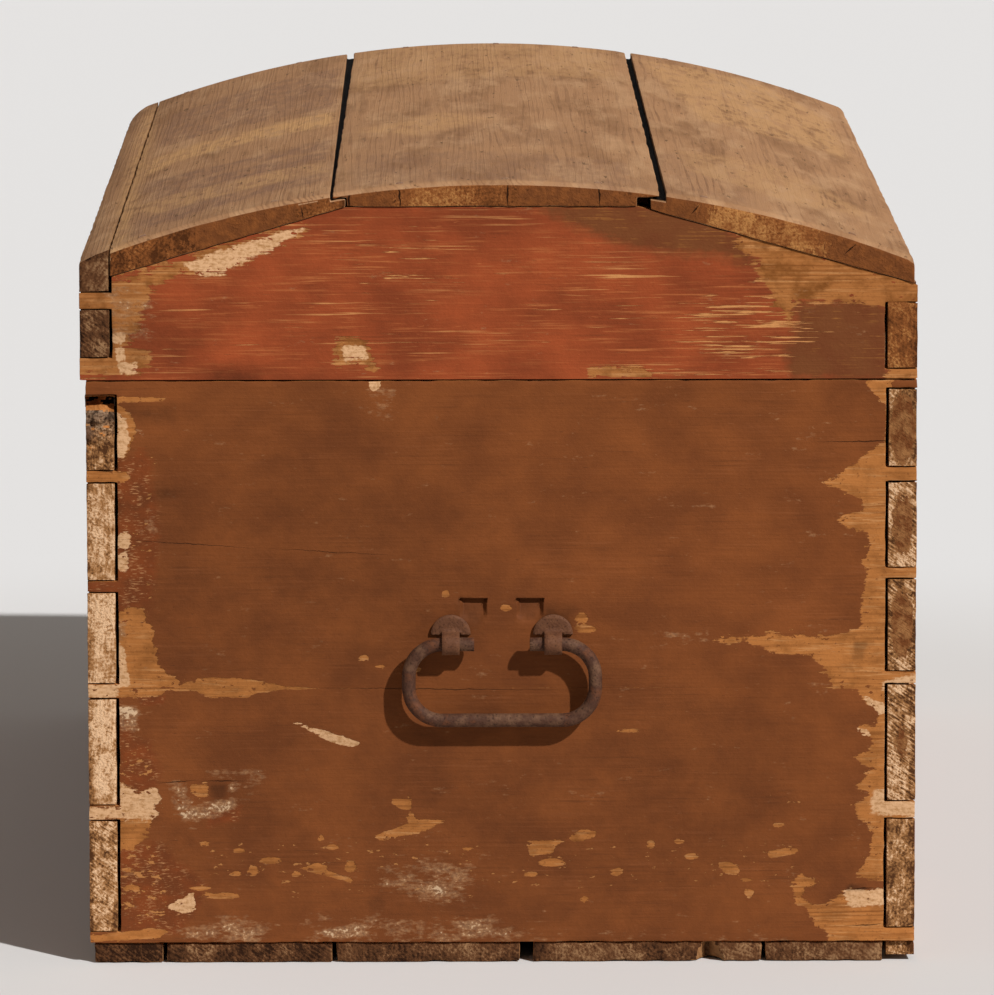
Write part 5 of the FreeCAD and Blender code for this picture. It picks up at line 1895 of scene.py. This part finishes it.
@dataclass
class Lid:
    """The lid: two arched ends, two rails and three planks. Gaps and skews are widths at the near end
    and at the far end."""

    body: str = "lid"
    front_gap: Span = (1.6, 5.4)
    back_gap: Span = (4.2, 4.6)
    front_skew: Span = (0.7, 5.0)
    back_skew: Span = (6.0, 4.0)
    facet_gap: float = 0.2
    rail_gap: float = 0.3
    notch_width: float = 7.8
    notch_length: float = 30.0
    corner: float = 4.0
    corner_start: float = 430.0
    corner_length: float = 120.0
    rail_round: float = 13.0
    rail_wear: float = 1.5
    rounding: float = 5.0
    back_inset: float = 2.5
    pull: float = 8.0

    def gables(self) -> None:
        """Makes the two arched ends."""
        s = SIZES
        facets = tuple((y, z - self.facet_gap) for y, z in s.facets())
        wears = {
            "right": WearMap.from_photo(GABLE_OUTLINES, GABLE_AREAS, 0.3),
            "left": WearMap.handling((s.lid_front, s.lid_base), (s.lid_back, s.lid_base + 80), 11),
        }
        for (name, wear), side, step in zip(wears.items(), (1, -1), (2.4, 6.0)):
            EndBoard(
                f"lid_{name}_gable", self.body, "red_painted_pine", 4.0 + side, side,
                (s.lid_front, s.lid_back), (s.lid_base, facets[1][1]),
                s.lid_tails(s.front_rail_tail_shares), s.lid_tails(s.back_rail_tail_shares),
                (s.lid_front + s.rail + s.shoulder_gap, s.lid_back - s.rail - s.shoulder_gap),
                wear, Finish.RED_END, step, facets=facets,
            ).build()

    def rails(self) -> None:
        """Makes the long sides."""
        s = SIZES
        LongBoard(
            "lid_front_rail", self.body, "weathered_pine", 21.0,
            (s.lid_front, s.lid_front + s.rail), (s.lid_base, s.lid_base + s.lid_side),
            s.lid_tails(s.front_rail_tail_shares), FRONT_RAIL_ENDS,
            Finish.WEATHERED, Finish.DIRTY, top=self.rail_top,
        ).build()
        LongBoard(
            "lid_back_rail", self.body, "weathered_pine", 22.0,
            (s.lid_back - s.rail, s.lid_back), (s.lid_base, s.facet(s.lid_back) - self.facet_gap),
            s.lid_tails(s.back_rail_tail_shares), BACK_RAIL_ENDS,
            Finish.WEATHERED, Finish.STAINED, top=lambda x, y: s.facet(y) - self.facet_gap,
        ).build()

    def rail_top(self, x: float, y: float) -> float:
        """Height of the front rail's top, whose outer edge and far corner hands have rounded.

        Args:
            x: A place along the trunk.
            y: Its place across.

        Returns:
            Z.
        """
        far = max(0.0, min(1.0, (-x - self.corner_start) / self.corner_length))
        out = max(0.0, 1 - (y - SIZES.lid_front) / self.rail_round)
        return SIZES.dome(y) - out**2 * (self.rail_wear + far * far * self.corner)

    def crest(self, x: float, y: float) -> float:
        """Height of the planks' top, whose ends and back edge wear has rounded.

        Args:
            x: A place along the trunk.
            y: Its place across.

        Returns:
            Z.
        """
        tip = max(0.0, 1 - (SIZES.plank_reach - abs(x)) / self.rounding)
        rear = max(0.0, 1 - (SIZES.lid_back - self.back_inset - y) / self.rounding)
        return SIZES.dome(y) - 0.6 * self.rounding * min(1.2, tip**2 + rear**2)

    def along(self, x: float, ends: Span) -> float:
        """A width that changes evenly from the near end to the far end."""
        return ends[0] + (ends[1] - ends[0]) * (SIZES.plank_reach - x) / (2 * SIZES.plank_reach)

    def edge(self, row: float, line: Callable[[float], float]) -> Callable[[float, float], float]:
        """Moves a row of the grid, and its neighbours with it, to a plank's uneven edge."""
        return lambda x, y: y + max(0.0, 1 - abs(y - row) / self.pull) * (line(x) - row)

    def planks(self) -> None:
        """Makes the three planks."""
        s = SIZES
        lap = s.crown - s.plank + s.lap_depth
        front_lap, back_lap = s.front_break - s.lap_width, s.back_break + s.lap_width
        front_row, back_row = front_lap - sum(self.front_gap) / 2, back_lap + sum(self.back_gap) / 2
        front_start, tongue = s.lid_front + s.rail + self.rail_gap, s.back_break + self.notch_width
        rear = s.lid_back - self.back_inset
        notch_start = s.plank_reach - self.notch_length
        seat = (s.front_break + s.clearance, s.back_break - s.clearance)

        def front_edge(x: float) -> float:
            """Where the middle plank ends towards the front."""
            return front_lap + self.along(x, self.front_skew)

        def back_edge(x: float) -> float:
            """Where the middle plank ends towards the back."""
            return back_lap + self.along(x, self.back_skew)

        def middle(x: float, y: float) -> float:
            """Moves both edges of the middle plank."""
            return self.edge(front_lap, front_edge)(x, y) if y < 0 else self.edge(back_lap, back_edge)(x, y)

        def lapped(x: float, y: float, layer: int) -> float:
            """Levels of an outer plank: facet, lap and dome."""
            low, high = s.facet(y), self.crest(x, y)
            return (low, min(lap, low + 0.67 * (high - low)), low + 0.85 * (high - low), high)[layer]

        planks = {
            "front": (
                (front_start, front_row, s.front_break), lapped, 3,
                lambda x, y, k: k < 2 or y < front_row,
                self.edge(front_row, lambda x: front_edge(x) - self.along(x, self.front_gap)), 0.30,
            ),
            "back": (
                (s.back_break, tongue, back_row, rear - self.rounding, rear - self.rounding / 2, rear),
                lapped, 3,
                lambda x, y, k: y > back_row or k < 2 and (y > tongue or x < notch_start),
                self.edge(back_row, lambda x: back_edge(x) + self.along(x, self.back_gap)), 0.44,
            ),
            "middle": (
                (front_lap, *seat, back_lap),
                lambda x, y, k: (self.crest(x, y), lap + s.clearance, s.crown - s.plank)[k], 2,
                lambda x, y, k: k < 2 or seat[0] < y < seat[1], middle, 0.34,
            ),
        }
        for number, (name, sizes) in enumerate(planks.items(), 1):
            Plank(f"lid_{name}_plank", self.body, "weathered_pine", float(number), *sizes).build()

    def build(self) -> None:
        """Makes all the lid's wood."""
        self.gables()
        self.rails()
        self.planks()


@dataclass
class Box:
    """The trunk's body: four walls of two boards each, and five bottom boards."""

    body: str = "trunk"
    end_seam: float = 202.5
    front_seam_share: float = 0.636
    back_seam_share: float = 0.657
    seam_gap: float = 0.08
    back_floor_gap: float = 4.0
    back_lip: float = 546.0
    keyhole: Place = (5.6, 360.8, 386.7)
    bottom_boards: int = 5
    split_board: int = 4
    split_place: float = 150.0

    def halves(self, low: float, seam: float) -> dict[str, Span]:
        """Heights of a wall's two boards."""
        gap = self.seam_gap / 2
        return {"lower": (low, seam - gap), "upper": (seam + gap, SIZES.wall_top)}

    def ends(self) -> None:
        """Makes the end walls."""
        s = SIZES
        inner = s.half_width - s.board - s.shoulder_gap
        worn = WearMap.from_photo(WALL_OUTLINES, WALL_AREAS, 0.06)
        looks = (("right", 1, Finish.BROWN_END, 2.4), ("left", -1, Finish.BROWN_LEFT, 6.0))
        for name, side, finish, step in looks:
            for part, z in self.halves(s.wall_low, self.end_seam).items():
                made_up = WearMap.handling((-s.half_width, z[0]), (s.half_width, z[1]), round(z[0]))
                EndBoard(
                    f"{name}_end_{part}_board", self.body, "painted_pine", side + z[0], side,
                    (-s.half_width, s.half_width), z,
                    s.wall_tails(s.front_tail_shares), s.wall_tails(s.back_tail_shares), (-inner, inner),
                    worn if side > 0 else made_up, finish, step, part == "upper",
                ).build()

    def sides(self) -> None:
        """Makes the front and back walls."""
        s = SIZES
        front, back = (-s.half_width, s.board - s.half_width), (s.half_width - s.board, s.half_width)
        walls = (
            ("front", front, s.front_tail_shares, FRONT_TAIL_ENDS, self.front_seam_share, s.wall_low),
            ("back", back, s.back_tail_shares, BACK_TAIL_ENDS, self.back_seam_share, self.back_floor_gap),
        )
        for name, y, shares, ends, share, low in walls:
            tails = s.wall_tails(shares)
            for part, z in self.halves(low, s.wall_low + share * s.wall_height).items():
                mine = [n for n, (a, b) in enumerate(tails) if z[0] < (a + b) / 2 < z[1]]
                seed = round(y[0] + z[1])
                LongBoard(
                    f"{name}_{part}_board", self.body, "painted_pine", float(seed), y, z,
                    [tails[n] for n in mine], tuple(ends[n] for n in mine), Finish.BROWN_SIDE,
                    wear=WearMap.handling((-s.half_length, z[0]), (s.half_length, z[1]), seed),
                    lip=self.back_lip if (name, part) == ("back", "lower") else None,
                    keyhole=self.keyhole if (name, part) == ("front", "upper") else None,
                ).build()

    def bottom(self) -> None:
        """Makes the bottom boards."""
        for number in range(1, self.bottom_boards + 1):
            split = self.split_place if number == self.split_board else None
            node, seed = f"bottom_board_{number}", 30.0 + number
            BottomBoard(node, self.body, "bare_pine", seed, number, split).build()

    def build(self) -> None:
        """Makes all the body's wood."""
        self.ends()
        self.sides()
        self.bottom()


@dataclass
class Ironwork:
    """Handles, hinges, lock and nails. The handles get a hammered surface with dents of so many
    millimetres, and the other iron keeps its shape."""

    nodes: dict[str, Object]
    dent: float = 0.35
    bail_step: float = 3.0
    staple_step: float = 4.0
    rounds: int = 4

    def forge(self, node: str, body: str, step: float, finish: Finish) -> None:
        """Copies an iron piece and gives it a hammered surface.

        Args:
            node: The construction node.
            body: The body that it rides on.
            step: The longest edge that the surface keeps.
            finish: Its finish.
        """
        bm = bmesh.new()
        bm.from_mesh(self.nodes[node].data)
        bmesh.ops.remove_doubles(bm, verts=bm.verts[:], dist=1e-5)
        for _ in range(self.rounds):
            long = [e for e in bm.edges if e.calc_length() > step * MM]
            bmesh.ops.subdivide_edges(bm, edges=long, cuts=1)
            bmesh.ops.triangulate(bm, faces=[f for f in bm.faces if len(f.verts) > 3])
        bm.normal_update()
        for vert in bm.verts:
            hammered = noise.noise(vert.co * 120) + 0.5 * noise.noise(vert.co * 330)
            vert.co -= vert.normal * self.dent * (0.5 + 0.5 * hammered) * MM
        piece = keep_mesh(bm, node + "_forged")
        piece.data.materials.append(finish.material)
        settle(piece, node, body)

    def build(self) -> None:
        """Makes the handles and gives the other iron its finish."""
        for side in ("right", "left"):
            self.forge(f"{side}_handle_bail", f"{side}_handle", self.bail_step, Finish.IRON)
            for place in ("front", "back"):
                staple = f"{side}_handle_{place}_staple"
                self.forge(staple, "trunk", self.staple_step, Finish.PAINTED_IRON)
        for name, node in self.nodes.items():
            if not node.hide_render:
                finish = Finish.NAIL_IRON if "nails" in name else Finish.IRON
                finish = Finish.LID_NAIL_IRON if name == "lid_nails" else finish
                node.data.materials.clear()
                node.data.materials.append(finish.material)
                LOG.info("%s keeps its shape", name)


@dataclass
class Studio:
    """Floor and light. The floor's size is in metres. Its tone changes over a span of distances."""

    floor_size: float = 9.0
    floor: str = "#d8d6d4"
    floor_behind: str = "#e4e4e4"
    behind: Span = (800.0, 1500.0)
    floor_front: str = "#8a827c"
    front: Span = (700.0, 1600.0)
    key: float = 3.95
    key_angle: float = 1.6
    key_from: Place = (0.585, 0.518, 0.626)
    fill: float = 0.215
    fill_colour: str = "#f3e6da"
    backdrop: str = "#e8e8ea"

    def build(self) -> None:
        """Sets up the studio."""
        bm = bmesh.new()
        bmesh.ops.create_grid(bm, x_segments=2, y_segments=2, size=self.floor_size)
        floor = keep_mesh(bm, "studio_floor")
        floor.data.materials.append(self.floor_finish())
        lamp = bpy.data.lights.new("key", "SUN")
        lamp.energy, lamp.angle = self.key, math.radians(self.key_angle)
        key = bpy.data.objects.new("key", lamp)
        key.rotation_mode = "QUATERNION"
        key.rotation_quaternion = Vector(self.key_from).to_track_quat("Z", "Y")
        bpy.context.scene.collection.objects.link(key)
        self.sky()
        bpy.context.scene.view_settings.view_transform = "Standard"

    def sky(self) -> None:
        """Even light from all around, and a pale backdrop for the camera and for reflections."""
        world = bpy.data.worlds.new("studio")
        world.use_nodes = True
        world.node_tree.nodes.clear()
        add = partial(add_node, world.node_tree)
        path = add("LightPath").outputs
        seen = add("Math", (path["Is Camera Ray"], path["Is Glossy Ray"]), "MAXIMUM")
        seen = add("Math", (seen, path["Is Transmission Ray"]), "MAXIMUM")
        light = add("Background", (linear(self.fill_colour), self.fill))
        backdrop = add("Background", (linear(self.backdrop), 1.0))
        mixed = add("MixShader", (seen, light, backdrop))
        add("OutputWorld", {"Surface": mixed})
        bpy.context.scene.world = world

    def floor_finish(self) -> Material:
        """Matt pale floor, paler away from the trunk as a studio sweep is, and darker in front of it.

        Returns:
            The material.
        """
        c = Canvas("matt_floor")
        away = c.add("VectorMath", (c.place,), "LENGTH").outputs["Value"]
        far = c.add("MapRange", (away, *self.behind, 0.0, 1.0), interpolation_type="SMOOTHSTEP")
        front = c.add("SeparateXYZ", (c.place,)).outputs["X"]
        colour = c.lay(self.floor, self.floor_behind, far)
        colour = c.lay(colour, self.floor_front, (front, *self.front, 1.0))
        matt = c.add("BsdfPrincipled", {"Base Color": colour, "Roughness": 0.9})
        c.add("OutputMaterial", {"Surface": matt})
        return c.material


def main() -> None:
    """Builds each part of the trunk, sets up the studio and places the camera."""
    logging.basicConfig(level=logging.INFO, format="%(name)s: %(message)s")
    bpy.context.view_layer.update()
    Box().build()
    Lid().build()
    Ironwork(frame["nodes"]).build()
    Studio().build()
    VIEW.stand()
    bpy.context.view_layer.update()


if __name__ == "__main__":
    main()
